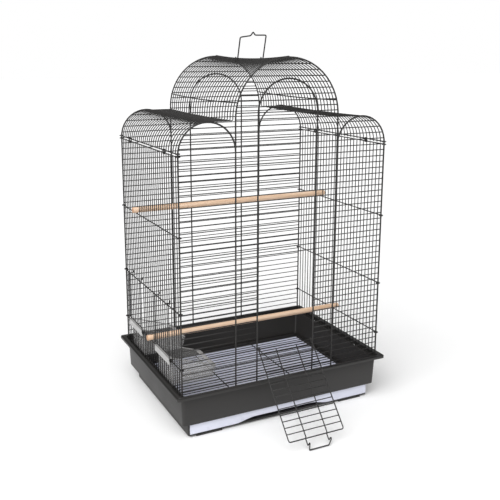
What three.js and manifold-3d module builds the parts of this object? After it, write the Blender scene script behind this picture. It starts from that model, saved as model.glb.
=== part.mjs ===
// A wire bird cage on a plastic base: arched wire panels, a drop-down front door, a carry
// handle, two hooked-on feeders with their own doors, two perches, a floor grille and a drawer.
// Millimetres, +Z up, front towards -Y. The origin is on the floor, under the base's centre.

import * as THREE from 'three';
import { mergeVertices } from 'three/addons/utils/BufferGeometryUtils.js';
import Module from 'manifold-3d';

const wasm = await Module();
wasm.setup();

// Wire body: overall size
const bodyWidth = 450;
const wirePitch = 12;
const cellsFrontToBack = 28;
const eaveHeight = 558;
const shoulderRadius = 57;
const vaultRadius = 111;
const vaultUpright = 3;
const crestSag = 6;
const innerPostOffset = 64.3;
const innerArchUpright = 8;

// Every second hoop and side wire and every fourth row is in these solids
const cellsPerHoop = 2;
const cellsPerRow = 4;

// Wire thicknesses
const cornerWire = 3.6;
const archWire = 3.2;
const fineWire = 2;
const railWire = 2.4;
const weldDepth = 0.4;

// Front door
const sillHeight = 160.5;
const doorOpeningCells = 16;
const doorOpenDegrees = 137.5;
const doorWire = 2.4;
const doorTopGap = 2.5;
const doorWirePitch = 12.5;
const doorInnerWireOffset = 23.5;
const latchReach = 22;
const latchStandOff = 3.2;
const latchStem = 13.3;
const latchNotchDepth = 4.2;
const latchNotchWidth = 6;
const latchCorner = 9.5;

// Rails on the side panels, by height above the floor
const lowRailHeight = 147.5;
const midRailHeight = 259;
const highRailHeight = 406.5;
const eaveRailGap = 5.4;
const springRailRise = 30;

// Carry handle
const handleHalfWidth = 29;
const handleWire = 2.8;
const handleHeight = 53;
const handleCornerRadius = 4;
const handlePeakHeight = 9.8;
const handlePeakHalfWidth = 5;
const handleHookHalfWidth = 4.4;
const handleHookDepth = 3.9;
const handleHookTail = 8;
const handleLeanDegrees = 16;

// Perches
const perchDiameter = 12;
const perchOverhang = 11;
const cellsToUpperPerch = 20;
const cellsToLowerPerch = 14;

// Feeders on the left side
const cellsToFrontFeeder = 4;
const cellsToBackFeeder = 18;
const cellsPerFeeder = 8;
const feederDoorHalfWidth = 44.5;
const cupHalfWidth = 42;
const cupWall = 1.6;
const cupDepth = 57.7;
const cupReach = 94;
const cupTaper = 8;
const cupRimDrop = 31.8;
const cupLipDrop = 12.7;
const feederBottomBarRise = 10.5;
const feederFingerOffset = 30;
const feederFingerReach = 0.6;

// Plastic base
const rimOverhang = 15.5;
const rimHeight = 96;
const rimThickness = 5;
const rimWidth = 10.5;
const rimCornerRadius = 6;
const smallestCornerRadius = 3;
const ledgeDrop = 6;
const ledgeWidth = 11;
const baseWall = 3;
const wallTaper = 2.5;
const shelfHeight = 30;
const skirtInset = 29.5;
const skirtBackInset = 34.5;
const footNotchHeight = 2;
const footNotchLength = 18;
const footNotchDepth = 12;
const footNotchOffset = 119;
const sillPlateHeight = 7;
const slotLength = 20;
const slotCentreOffset = 90;
const slotWidth = 5.6;
const tongueHalfWidth = 6;
const tongueReach = 7;
const floorRodOffset = 75;

// Drawer
const drawerWall = 1.8;
const drawerFrontThickness = 3;
const drawerFrontProud = 1;
const drawerPocketDepth = 12;
const drawerHeight = 21.5;
const drawerBackGap = 2;
const recessHalfWidth = 110;
const recessFlatHalfWidth = 66;
const recessRise = 7.2;

// Eave clips
const clipLength = 5;
const clipWall = 1;
const cellsToClip = 8.5;

// Clearances, and the distance by which a cut runs past its face
const touchGap = 0.3;
const runningGap = 0.5;
const ringClearance = 0.45;
const overrun = 2;

// Corner steps of round shapes
const ringSteps = 8;
const cornerSteps = 3;
const shoulderSteps = 4;
const vaultSteps = 12;
const sagSteps = 12;
const innerArchSteps = 8;
const perchSteps = 12;

// Places that follow from the sizes above
const halfWidth = bodyWidth / 2;
const halfDepth = (cellsFrontToBack * wirePitch) / 2;
const hoopPitch = wirePitch * cellsPerHoop;
const rowPitch = wirePitch * cellsPerRow;
const shoulderCentre = halfWidth - shoulderRadius;
const shoulderTop = eaveHeight + shoulderRadius;
const vaultSpringHeight = shoulderTop + vaultUpright;
const innerArchSpringHeight = vaultSpringHeight + innerArchUpright;
const vaultCrest = vaultSpringHeight + vaultRadius;
const ledgeTop = rimHeight - ledgeDrop;
const wireFoot = ledgeTop + touchGap;
const bottomRailHeight = wireFoot + railWire / 2;
const doorOpeningHeight = doorOpeningCells * wirePitch;
const doorOpeningTop = sillHeight + doorOpeningHeight;
const doorLength = doorOpeningHeight - doorTopGap;
const perchHalfLength = halfWidth + perchOverhang;
const railOffset = fineWire / 2 + railWire / 2 - weldDepth;
const railX = halfWidth + railOffset;
const sideTopRailHeight = eaveHeight - eaveRailGap / 2;
const roofEaveRailHeight = eaveHeight + eaveRailGap / 2;
const rimHalfWidth = halfWidth + rimOverhang;
const rimHalfDepth = halfDepth + rimOverhang;
const wallInset = rimWidth + ledgeWidth - baseWall;
const innerWallInset = rimWidth + ledgeWidth;
const shelfTop = shelfHeight + baseWall;
const skirtHalfWidth = rimHalfWidth - skirtInset;
const skirtFront = -(rimHalfDepth - wallInset - wallTaper);
const skirtBack = rimHalfDepth - skirtBackInset;

// Solid helpers

function solidOf(geometry) {
  const bare = geometry.clone();
  bare.deleteAttribute('normal');
  bare.deleteAttribute('uv');
  const merged = mergeVertices(bare);
  return new wasm.Manifold(new wasm.Mesh({
    numProp: 3,
    vertProperties: new Float32Array(merged.attributes.position.array),
    triVerts: new Uint32Array(merged.index.array),
  }));
}

function geometryOf(solid) {
  const mesh = solid.getMesh();
  const geometry = new THREE.BufferGeometry();
  geometry.setAttribute('position', new THREE.BufferAttribute(mesh.vertProperties, mesh.numProp));
  geometry.setIndex(new THREE.BufferAttribute(mesh.triVerts, 1));
  geometry.computeVertexNormals();
  return geometry;
}

// Joins solids in pairs, so that each join stays small.
function join(solids) {
  if (solids.length === 1) {
    return solids[0];
  }
  const middle = Math.ceil(solids.length / 2);
  return join(solids.slice(0, middle)).add(join(solids.slice(middle)));
}

function block(x, y, z) {
  const geometry = new THREE.BoxGeometry(x[1] - x[0], y[1] - y[0], z[1] - z[0]);
  geometry.translate((x[0] + x[1]) / 2, (y[0] + y[1]) / 2, (z[0] + z[1]) / 2);
  return solidOf(geometry);
}

function around(centre, thickness) {
  return [centre - thickness / 2, centre + thickness / 2];
}

function wireAlongX(from, to, y, z, thickness) {
  return block([from, to], around(y, thickness), around(z, thickness));
}

function wireAlongY(x, from, to, z, thickness) {
  return block(around(x, thickness), [from, to], around(z, thickness));
}

function wireAlongZ(x, y, from, to, thickness) {
  return block(around(x, thickness), around(y, thickness), [from, to]);
}

// Points of an arc about a centre, from one angle to another in degrees.
function arcPoints(centreX, centreZ, radius, fromDegrees, toDegrees, steps) {
  const points = [];
  for (let i = 0; i <= steps; i += 1) {
    const degrees = fromDegrees + ((toDegrees - fromDegrees) * i) / steps;
    const angle = THREE.MathUtils.degToRad(degrees);
    points.push(new THREE.Vector2(
      centreX + radius * Math.cos(angle),
      centreZ + radius * Math.sin(angle),
    ));
  }
  return points;
}

// One side of a wire bent along the points: each corner keeps the wire's full width.
function offsetSide(points, distance) {
  return points.map((point, i) => {
    const before = points[Math.max(i - 1, 0)];
    const after = points[Math.min(i + 1, points.length - 1)];
    const arriving = point.clone().sub(before).normalize();
    const leaving = after.clone().sub(point).normalize();
    const first = i === 0 ? leaving : arriving;
    const second = i === points.length - 1 ? arriving : leaving;
    const normal = new THREE.Vector2(-first.y - second.y, first.x + second.x).normalize();
    const stretch = 1 / (normal.x * -first.y + normal.y * first.x);
    return point.clone().addScaledVector(normal, distance * stretch);
  });
}

// A flat plate upright in the XZ plane, centred on Y = 0.
function uprightPlate(outline, thickness) {
  const geometry = new THREE.ExtrudeGeometry(new THREE.Shape(outline), {
    depth: thickness,
    bevelEnabled: false,
  });
  geometry.rotateX(Math.PI / 2);
  geometry.translate(0, thickness / 2, 0);
  return solidOf(geometry);
}

// A square wire bent along points in the XZ plane, centred on Y = 0.
function bentWire(points, thickness) {
  const near = offsetSide(points, thickness / 2);
  const far = offsetSide(points, -thickness / 2).reverse();
  return uprightPlate([...near, ...far], thickness);
}

// A closed eye of square wire, its axis along Z, centred on the origin. Its flats clear the
// inner radius.
function wireRing(innerRadius, thickness) {
  const cornerRadius = innerRadius / Math.cos(Math.PI / ringSteps);
  const shape = new THREE.Shape();
  shape.absarc(0, 0, cornerRadius + thickness, 0, 2 * Math.PI, false);
  const hole = new THREE.Path();
  hole.absarc(0, 0, cornerRadius, 0, 2 * Math.PI, true);
  shape.holes.push(hole);
  const geometry = new THREE.ExtrudeGeometry(shape, {
    depth: thickness,
    bevelEnabled: false,
    curveSegments: ringSteps,
  });
  geometry.translate(0, 0, -thickness / 2);
  return solidOf(geometry);
}

// The eye of a wire that turns round a hinge wire, leaving room to turn.
function hingeEye(heldWire, ownWire) {
  const innerRadius = (heldWire / 2) * Math.SQRT2 + ringClearance;
  return { solid: wireRing(innerRadius, ownWire), centreRadius: innerRadius + ownWire / 2 };
}

// Rounded rectangles of the base, each inset from the rim's outer edge.

function baseOutline(inset) {
  const radius = Math.max(rimCornerRadius - inset, smallestCornerRadius);
  const x = rimHalfWidth - inset - radius;
  const y = rimHalfDepth - inset - radius;
  return [
    ...arcPoints(x, y, radius, 0, 90, cornerSteps),
    ...arcPoints(-x, y, radius, 90, 180, cornerSteps),
    ...arcPoints(-x, -y, radius, 180, 270, cornerSteps),
    ...arcPoints(x, -y, radius, 270, 360, cornerSteps),
  ];
}

// A wall of one cross-section all round the base. The section is a loop of inset and height,
// counter-clockwise when seen with the outside to the right.
function baseWallAllRound(section) {
  const positions = [];
  const index = [];
  const rings = section.map(({ inset }) => baseOutline(inset));
  const count = rings[0].length;
  section.forEach(({ height }, row) => {
    rings[row].forEach((point) => positions.push(point.x, point.y, height));
  });
  for (let row = 0; row < section.length; row += 1) {
    const nextRow = (row + 1) % section.length;
    for (let column = 0; column < count; column += 1) {
      const nextColumn = (column + 1) % count;
      const a = row * count + column;
      const b = row * count + nextColumn;
      const c = nextRow * count + nextColumn;
      const d = nextRow * count + column;
      index.push(a, b, c, a, c, d);
    }
  }
  const geometry = new THREE.BufferGeometry();
  geometry.setAttribute('position', new THREE.Float32BufferAttribute(positions, 3));
  geometry.setIndex(index);
  return solidOf(geometry);
}

function levelPlate(outline, low, high) {
  const geometry = new THREE.ExtrudeGeometry(new THREE.Shape(outline), {
    depth: high - low,
    bevelEnabled: false,
  });
  geometry.translate(0, 0, low);
  return solidOf(geometry);
}

// Plastic base

function makeBaseTray() {
  const wall = baseWallAllRound([
    { inset: wallInset + wallTaper, height: shelfHeight },
    { inset: wallInset, height: ledgeTop - baseWall },
    { inset: rimWidth - baseWall, height: ledgeTop - baseWall },
    { inset: rimWidth - baseWall, height: rimHeight - rimThickness },
    { inset: 0, height: rimHeight - rimThickness },
    { inset: 0, height: rimHeight },
    { inset: rimWidth, height: rimHeight },
    { inset: rimWidth, height: ledgeTop },
    { inset: innerWallInset, height: ledgeTop },
    { inset: innerWallInset + wallTaper, height: shelfHeight },
  ]);
  const shelf = levelPlate(
    baseOutline(innerWallInset + wallTaper - baseWall / 2),
    shelfHeight,
    shelfTop,
  );
  const skirt = block(
    [-skirtHalfWidth, skirtHalfWidth],
    [skirtFront, skirtBack],
    [0, shelfHeight + baseWall / 2],
  );
  const hollow = block(
    [-skirtHalfWidth + baseWall, skirtHalfWidth - baseWall],
    [skirtFront + baseWall, skirtBack - baseWall],
    [sillPlateHeight - baseWall, shelfTop + overrun],
  );
  const drawerSlot = block(
    [-skirtHalfWidth + baseWall, skirtHalfWidth - baseWall],
    [skirtFront - overrun, skirtFront + baseWall + overrun],
    [sillPlateHeight, shelfHeight],
  );
  const cuts = [hollow, drawerSlot, ...makeFootNotches(), ...makeLedgeSlots()];
  return join([wall, shelf, skirt]).subtract(join(cuts));
}

// Shallow notches in the front and back edges of the underside part the feet from the middle.
function makeFootNotches() {
  const notches = [];
  for (const side of [-1, 1]) {
    for (const edge of [skirtFront, skirtBack]) {
      notches.push(block(
        around(side * footNotchOffset, footNotchLength),
        around(edge, 2 * footNotchDepth),
        [-overrun, footNotchHeight],
      ));
    }
  }
  return notches;
}

// Slots in the ledge take the tongues that hold the wire body down.
function makeLedgeSlots() {
  const slots = [];
  for (const side of [-1, 1]) {
    for (const end of [-1, 1]) {
      slots.push(block(
        around(side * halfWidth, slotWidth),
        around(end * slotCentreOffset, slotLength),
        [ledgeTop - baseWall - overrun, ledgeTop + overrun],
      ));
    }
  }
  return slots;
}

function makeDrawer() {
  const low = sillPlateHeight + touchGap;
  const high = low + drawerHeight;
  const side = skirtHalfWidth - baseWall - runningGap;
  const face = skirtFront - drawerFrontProud;
  const tubFront = face + drawerFrontThickness + drawerPocketDepth;
  const back = skirtBack - baseWall - drawerBackGap;
  const tub = block([-side, side], [tubFront, back], [low, high]).subtract(block(
    [-side + drawerWall, side - drawerWall],
    [tubFront + drawerWall, back - drawerWall],
    [low + drawerWall, high + overrun],
  ));
  const pocketRoof = block([-side, side], [face, tubFront + drawerWall], [high - drawerWall, high]);
  const cheeks = [-1, 1].map((sign) => block(
    around(sign * (side - drawerWall / 2), drawerWall),
    [face, tubFront + drawerWall],
    [low, high],
  ));
  const frontOutline = [
    new THREE.Vector2(-side, low),
    new THREE.Vector2(-recessHalfWidth, low),
    new THREE.Vector2(-recessFlatHalfWidth, low + recessRise),
    new THREE.Vector2(recessFlatHalfWidth, low + recessRise),
    new THREE.Vector2(recessHalfWidth, low),
    new THREE.Vector2(side, low),
    new THREE.Vector2(side, high),
    new THREE.Vector2(-side, high),
  ];
  const front = uprightPlate(frontOutline, drawerFrontThickness)
    .translate([0, face + drawerFrontThickness / 2, 0]);
  return join([tub, pocketRoof, ...cheeks, front]);
}

function makeFloorGrille() {
  const level = shelfTop + touchGap + railWire / 2;
  const edgeInset = innerWallInset + wallTaper + runningGap + railWire;
  const edgeX = rimHalfWidth - edgeInset;
  const edgeY = rimHalfDepth - edgeInset;
  const wires = [];
  for (const side of [-1, 1]) {
    wires.push(wireAlongY(side * edgeX, -edgeY - railWire / 2, edgeY + railWire / 2, level, railWire));
    wires.push(wireAlongY(side * floorRodOffset, -edgeY, edgeY, level, railWire));
    wires.push(wireAlongX(-edgeX, edgeX, side * edgeY, level, fineWire));
  }
  const firstWire = -Math.floor(edgeY / rowPitch) * rowPitch;
  for (let y = firstWire; y < edgeY - fineWire; y += rowPitch) {
    wires.push(wireAlongX(-edgeX, edgeX, y, level, fineWire));
  }
  return join(wires);
}

// Wire panels

// Half the width of the cage at a height, from corner post to shoulder arch to vault.
function halfWidthAt(height) {
  if (height <= eaveHeight) {
    return halfWidth;
  }
  if (height < shoulderTop) {
    return shoulderCentre + Math.sqrt(shoulderRadius ** 2 - (height - eaveHeight) ** 2);
  }
  if (height <= vaultSpringHeight) {
    return vaultRadius;
  }
  return Math.sqrt(vaultRadius ** 2 - (height - vaultSpringHeight) ** 2);
}

// A post on each side joined over the top by a round arch.
function archWithPosts(radius, springHeight, steps) {
  return [
    new THREE.Vector2(radius, wireFoot),
    ...arcPoints(0, springHeight, radius, 0, 180, steps),
    new THREE.Vector2(-radius, wireFoot),
  ];
}

function makeEndPanel(hasDoorOpening) {
  const wires = [
    bentWire(archWithPosts(vaultRadius, vaultSpringHeight, vaultSteps), archWire),
    bentWire(archWithPosts(innerPostOffset, innerArchSpringHeight, innerArchSteps), archWire),
    wireAlongX(-halfWidth, halfWidth, 0, bottomRailHeight, railWire),
  ];
  for (const side of [-1, 1]) {
    wires.push(wireAlongZ(side * halfWidth, 0, wireFoot, eaveHeight, cornerWire));
    wires.push(bentWire(
      arcPoints(side * shoulderCentre, eaveHeight, shoulderRadius, 0, 180, 2 * shoulderSteps),
      archWire,
    ));
  }
  const rowsBelowSill = Math.floor((sillHeight - wireFoot) / rowPitch);
  const lowestRow = sillHeight - rowsBelowSill * rowPitch;
  for (let z = lowestRow; z < vaultCrest - wirePitch; z += rowPitch) {
    const reach = halfWidthAt(z);
    const inOpening = z > sillHeight + fineWire && z < doorOpeningTop - fineWire;
    if (hasDoorOpening && inOpening) {
      wires.push(wireAlongX(-reach, -innerPostOffset, 0, z, fineWire));
      wires.push(wireAlongX(innerPostOffset, reach, 0, z, fineWire));
    } else {
      wires.push(wireAlongX(-reach, reach, 0, z, fineWire));
    }
  }
  return join(wires);
}

function makeSidePanel(side, openBays) {
  const x = side * halfWidth;
  const outerX = side * railX;
  const lastWire = halfDepth - hoopPitch;
  const wires = [wireAlongY(x, -lastWire, lastWire, bottomRailHeight, railWire)];
  const rails = [lowRailHeight, midRailHeight, highRailHeight, sideTopRailHeight];
  for (const height of rails) {
    wires.push(...railWithEndEyes(side, outerX, height));
  }
  for (let y = -lastWire; y <= lastWire; y += hoopPitch) {
    const inBay = openBays.some((bay) => y > bay[0] + fineWire && y < bay[1] - fineWire);
    if (inBay) {
      wires.push(wireAlongZ(x, y, bottomRailHeight, lowRailHeight, fineWire));
      wires.push(wireAlongZ(x, y, midRailHeight, sideTopRailHeight, fineWire));
    } else {
      wires.push(wireAlongZ(x, y, bottomRailHeight, sideTopRailHeight, fineWire));
    }
  }
  for (const end of [-1, 1]) {
    wires.push(...makeTongue(x, end * slotCentreOffset));
  }
  return join(wires);
}

// A rail outside the side wires, its ends turned round the corner posts.
function railWithEndEyes(side, outerX, height) {
  const innerRadius = (cornerWire / 2) * Math.SQRT2 + touchGap;
  const pieces = [wireAlongY(
    outerX,
    -halfDepth + innerRadius + railWire / 2,
    halfDepth - innerRadius - railWire / 2,
    height,
    railWire,
  )];
  for (const end of [-1, 1]) {
    pieces.push(wireRing(innerRadius, railWire)
      .translate([side * halfWidth, end * halfDepth, height]));
  }
  return pieces;
}

// A bent tongue under the bottom rail, which springs into a slot in the base's ledge.
function makeTongue(x, centreY) {
  const low = ledgeTop - tongueReach;
  const legs = [-1, 1].map((sign) => wireAlongZ(
    x,
    centreY + sign * (tongueHalfWidth - fineWire / 2),
    low,
    bottomRailHeight,
    fineWire,
  ));
  const foot = wireAlongY(x, centreY - tongueHalfWidth, centreY + tongueHalfWidth, low, fineWire);
  return [...legs, foot];
}

// Roof

// How far the roof's wires hang below the level of the end arches: most at the crest, halfway
// between the arches, and not at all at the arches and the eaves.
function roofSag(y, height) {
  const slack = 1 - (y / halfDepth) ** 2;
  return (crestSag * slack * (height - eaveHeight)) / (vaultCrest - eaveHeight);
}

// The outline of one hoop: quarter arch, flat shoulder, upright, then half of the vault.
function halfHoopPoints() {
  const rise = roofEaveRailHeight - railWire / 2 - eaveHeight;
  const startDegrees = THREE.MathUtils.radToDeg(Math.asin(rise / shoulderRadius));
  return [
    ...arcPoints(shoulderCentre, eaveHeight, shoulderRadius, startDegrees, 90, shoulderSteps),
    new THREE.Vector2(vaultRadius, shoulderTop),
    ...arcPoints(0, vaultSpringHeight, vaultRadius, 0, 90, vaultSteps / 2),
  ];
}

// A rail along Y that hangs with the hoops under it.
function saggingRail(x, height, railEnd) {
  const points = [];
  for (let i = 0; i <= sagSteps; i += 1) {
    const y = railEnd * ((2 * i) / sagSteps - 1);
    points.push(new THREE.Vector2(y, height - roofSag(y, height)));
  }
  return bentWire(points, railWire).rotate([0, 0, 90]).translate([x, 0, 0]);
}

function makeRoofPanel() {
  const rightHalf = halfHoopPoints();
  const leftHalf = rightHalf.slice(0, -1).reverse()
    .map((point) => new THREE.Vector2(-point.x, point.y));
  const outline = [...rightHalf, ...leftHalf];
  const lastHoop = halfDepth - hoopPitch;
  const pieces = [];
  for (let y = -lastHoop; y <= lastHoop; y += hoopPitch) {
    const hoop = outline
      .map((point) => new THREE.Vector2(point.x, point.y - roofSag(y, point.y)));
    pieces.push(bentWire(hoop, fineWire).translate([0, y, 0]));
  }
  const railEnd = halfDepth - archWire / 2 - touchGap;
  const railRadius = vaultRadius + railOffset;
  const springReach = Math.sqrt(railRadius ** 2 - springRailRise ** 2);
  const springHeight = vaultSpringHeight + springRailRise;
  pieces.push(saggingRail(0, vaultSpringHeight + railRadius, railEnd));
  for (const side of [-1, 1]) {
    pieces.push(saggingRail(side * springReach, springHeight, railEnd));
    pieces.push(...railWithEndEyes(side, side * railX, roofEaveRailHeight));
  }
  return join(pieces);
}

// A strip bent round the side panel's top rail and the roof's eave rail.
function makeEaveClip(side, centreY) {
  const hole = railWire / 2 + touchGap;
  const x = side * railX;
  const low = sideTopRailHeight - hole;
  const high = roofEaveRailHeight + hole;
  const length = around(centreY, clipLength);
  const outer = block(around(x, 2 * (hole + clipWall)), length, [low - clipWall, high + clipWall]);
  const inner = block(around(x, 2 * hole), around(centreY, clipLength + 2 * overrun), [low, high]);
  return outer.subtract(inner);
}

// Front door, built shut: its hinge line is the X axis and the door stands up along Z

function makeFrontDoor() {
  const postClearance = archWire / 2 + touchGap + doorWire / 2;
  const sideX = innerPostOffset - postClearance;
  const eye = hingeEye(fineWire, doorWire);
  const bottomBar = eye.centreRadius + doorWire;
  const wires = [
    wireAlongX(-sideX, sideX, 0, doorLength, doorWire),
    wireAlongX(-sideX, sideX, 0, bottomBar, doorWire),
  ];
  for (const side of [-1, 1]) {
    wires.push(eye.solid.rotate([0, 90, 0]).translate([side * sideX, 0, 0]));
    wires.push(wireAlongZ(side * sideX, 0, eye.centreRadius, doorLength + doorWire / 2, doorWire));
    wires.push(wireAlongZ(side * doorInnerWireOffset, 0, bottomBar, doorLength, doorWire));
  }
  const crossPitch = doorWirePitch * cellsPerHoop;
  for (let z = crossPitch; z < doorLength - fineWire; z += crossPitch) {
    wires.push(wireAlongX(-sideX, sideX, 0, z, fineWire));
  }
  return join([...wires, ...makeLatchLoop()]);
}

// The latch loop steps out in front of the opening's top wire. Beside each inner wire it turns
// back in a notch, both to the right, and a bar joins the notches.
function makeLatchLoop() {
  const top = doorLength + latchReach;
  const half = doorInnerWireOffset;
  const stemTop = doorLength + latchStem;
  const notchBottom = stemTop - latchNotchDepth;
  const points = [
    new THREE.Vector2(half, doorLength),
    new THREE.Vector2(half, stemTop),
    new THREE.Vector2(half + latchNotchWidth, notchBottom),
    new THREE.Vector2(half + latchNotchWidth, top - latchCorner),
    new THREE.Vector2(half + latchNotchWidth - latchCorner, top),
    new THREE.Vector2(-half, top),
    new THREE.Vector2(-half + latchNotchWidth, notchBottom),
    new THREE.Vector2(-half, stemTop),
    new THREE.Vector2(-half, doorLength),
  ];
  const loop = bentWire(points, doorWire).translate([0, -latchStandOff, 0]);
  const steps = [-1, 1].map((side) => block(
    around(side * half, doorWire),
    [-latchStandOff - doorWire / 2, doorWire / 2],
    around(doorLength, doorWire),
  ));
  return [loop, ...steps];
}

// Carry handle, built upright: the hoop that it hangs on runs through its origin

function makeCarryHandle() {
  const corner = handleHeight - handleCornerRadius;
  const cornerX = handleHalfWidth - handleCornerRadius;
  const rightHalf = [
    new THREE.Vector2(handleHalfWidth, -handleHookDepth - handleWire / 2),
    ...arcPoints(cornerX, corner, handleCornerRadius, 0, 90, cornerSteps),
    new THREE.Vector2(handlePeakHalfWidth, handleHeight),
    new THREE.Vector2(0, handleHeight + handlePeakHeight),
  ];
  const leftHalf = rightHalf.slice(0, -1).reverse()
    .map((point) => new THREE.Vector2(-point.x, point.y));
  const pieces = [
    bentWire([...rightHalf, ...leftHalf], handleWire).translate([0, -handleHookHalfWidth, 0]),
  ];
  for (const side of [-1, 1]) {
    const x = side * handleHalfWidth;
    const hook = handleHookHalfWidth;
    pieces.push(wireAlongY(x, -hook, hook + handleWire / 2, -handleHookDepth, handleWire));
    pieces.push(wireAlongZ(x, hook, -handleHookDepth, handleHookTail, handleWire));
  }
  return join(pieces);
}

// Perches

// A round bar along X with a slot in each end, which straddles a side wire.
function makePerch() {
  const bar = new THREE.CylinderGeometry(
    perchDiameter / 2,
    perchDiameter / 2,
    2 * perchHalfLength,
    perchSteps,
  );
  bar.rotateZ(Math.PI / 2);
  let perch = solidOf(bar);
  const slotBottom = halfWidth - fineWire / 2 - runningGap;
  for (const side of [-1, 1]) {
    const reach = [slotBottom, perchHalfLength + overrun].map((x) => side * x).sort((a, b) => a - b);
    perch = perch.subtract(block(
      reach,
      around(0, fineWire + 2 * runningGap),
      around(0, perchDiameter + 2 * overrun),
    ));
  }
  return perch;
}

function perchPlace(railHeight, cell) {
  return [0, cell * wirePitch - halfDepth, railHeight + railWire / 2 + touchGap + perchDiameter / 2];
}

// Feeders

function bayOf(firstCell) {
  const start = firstCell * wirePitch - halfDepth;
  return [start, start + cellsPerFeeder * wirePitch];
}

// A clear cup inside the side wires, its rim falling towards the cage's middle and its lip
// turned over the low rail. Built about Y = 0.
function makeFeederCup() {
  const lipTop = lowRailHeight + railWire / 2 + runningGap + cupWall;
  const back = -halfWidth + fineWire / 2 + runningGap;
  const low = lipTop - cupDepth;
  const rim = lipTop - cupRimDrop;
  const outer = [
    new THREE.Vector2(back, low),
    new THREE.Vector2(back + cupReach - cupTaper, low),
    new THREE.Vector2(back + cupReach, rim),
    new THREE.Vector2(back, lipTop),
  ];
  const inner = [
    new THREE.Vector2(back + cupWall, low + cupWall),
    new THREE.Vector2(back + cupReach - cupTaper - cupWall, low + cupWall),
    new THREE.Vector2(back + cupReach - cupWall, rim + overrun),
    new THREE.Vector2(back + cupWall, lipTop + overrun),
  ];
  const shell = uprightPlate(outer, 2 * cupHalfWidth)
    .subtract(uprightPlate(inner, 2 * (cupHalfWidth - cupWall)));
  const lipOuter = -railX - railWire / 2 - runningGap - cupWall;
  const lipHalfWidth = feederDoorHalfWidth - fineWire / 2 - runningGap;
  const lipWidth = around(0, 2 * lipHalfWidth);
  const lipBridge = block([lipOuter, back + cupWall], lipWidth, [lipTop - cupWall, lipTop]);
  const lipDrop = block([lipOuter, lipOuter + cupWall], lipWidth, [lipTop - cupLipDrop, lipTop]);
  return join([shell, lipBridge, lipDrop]);
}

// A feeder's outer door, built about its hinge line along Y, the door standing up outside.
function makeFeederDoor() {
  const eye = hingeEye(railWire, fineWire);
  const plane = -eye.centreRadius;
  const fingerHeight = midRailHeight - lowRailHeight + railWire / 2 + touchGap + fineWire / 2;
  const wires = [];
  for (const height of [feederBottomBarRise, fingerHeight]) {
    wires.push(wireAlongY(plane, -feederDoorHalfWidth, feederDoorHalfWidth, height, fineWire));
  }
  for (const side of [-1, 1]) {
    const y = side * feederDoorHalfWidth;
    wires.push(eye.solid.rotate([90, 0, 0]).translate([0, y, 0]));
    wires.push(wireAlongZ(plane, y, 0, fingerHeight + fineWire / 2, fineWire));
    const fingerY = side * feederFingerOffset;
    wires.push(wireAlongX(plane, feederFingerReach, fingerY, fingerHeight, fineWire));
  }
  const innerReach = feederDoorHalfWidth - wirePitch;
  for (let y = -innerReach; y <= innerReach; y += innerReach) {
    wires.push(wireAlongZ(plane, y, feederBottomBarRise, fingerHeight, fineWire));
  }
  return join(wires);
}

// Materials

function material(color, roughness, metalness) {
  return new THREE.MeshStandardMaterial({ color, roughness, metalness });
}

const wirePaint = material(0x3c3a38, 0.45, 0.35);
const basePlastic = material(0x464442, 0.55, 0);
const drawerPlastic = material(0xdcdeeb, 0.5, 0);
const clearPlastic = material(0xdfe3e6, 0.25, 0);
const paleWood = material(0xe4c8af, 0.75, 0);

// Assembly

const cage = new THREE.Group();

function addPart(name, solid, surface, place = [0, 0, 0], parent = cage) {
  const mesh = new THREE.Mesh(geometryOf(solid), surface);
  mesh.name = name;
  mesh.position.set(...place);
  parent.add(mesh);
}

addPart('base_tray', makeBaseTray(), basePlastic);
addPart('drawer', makeDrawer(), drawerPlastic);
addPart('floor_grille', makeFloorGrille(), wirePaint);
addPart('front_panel', makeEndPanel(true), wirePaint, [0, -halfDepth, 0]);
addPart('back_panel', makeEndPanel(false), wirePaint, [0, halfDepth, 0]);
addPart(
  'left_side_panel',
  makeSidePanel(-1, [bayOf(cellsToFrontFeeder), bayOf(cellsToBackFeeder)]),
  wirePaint,
);
addPart('right_side_panel', makeSidePanel(1, []), wirePaint);
addPart('roof_panel', makeRoofPanel(), wirePaint);

const clipY = cellsToClip * wirePitch;
addPart('left_eave_clip_front', makeEaveClip(-1, -clipY), wirePaint);
addPart('left_eave_clip_back', makeEaveClip(-1, clipY), wirePaint);
addPart('right_eave_clip_front', makeEaveClip(1, -clipY), wirePaint);
addPart('right_eave_clip_back', makeEaveClip(1, clipY), wirePaint);

const doorHinge = new THREE.Group();
doorHinge.position.set(0, -halfDepth, sillHeight);
doorHinge.rotation.x = THREE.MathUtils.degToRad(doorOpenDegrees);
cage.add(doorHinge);
addPart('front_door', makeFrontDoor(), wirePaint, [0, 0, 0], doorHinge);

const handleHinge = new THREE.Group();
const hingeRise = Math.sqrt(vaultRadius ** 2 - handleHalfWidth ** 2);
const hoopHeight = vaultSpringHeight + hingeRise;
handleHinge.position.set(0, 0, hoopHeight - roofSag(0, hoopHeight));
handleHinge.rotation.x = THREE.MathUtils.degToRad(handleLeanDegrees);
cage.add(handleHinge);
addPart('carry_handle', makeCarryHandle(), wirePaint, [0, 0, 0], handleHinge);

addPart('upper_perch', makePerch(), paleWood, perchPlace(highRailHeight, cellsToUpperPerch));
addPart('lower_perch', makePerch(), paleWood, perchPlace(lowRailHeight, cellsToLowerPerch));

for (const [name, firstCell] of [['front', cellsToFrontFeeder], ['back', cellsToBackFeeder]]) {
  const bay = bayOf(firstCell);
  const centreY = (bay[0] + bay[1]) / 2;
  addPart(`${name}_feeder_cup`, makeFeederCup(), clearPlastic, [0, centreY, 0]);
  addPart(
    `${name}_feeder_door`,
    makeFeederDoor(),
    wirePaint,
    [-railX, centreY, lowRailHeight],
  );
}

export default cage;
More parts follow.
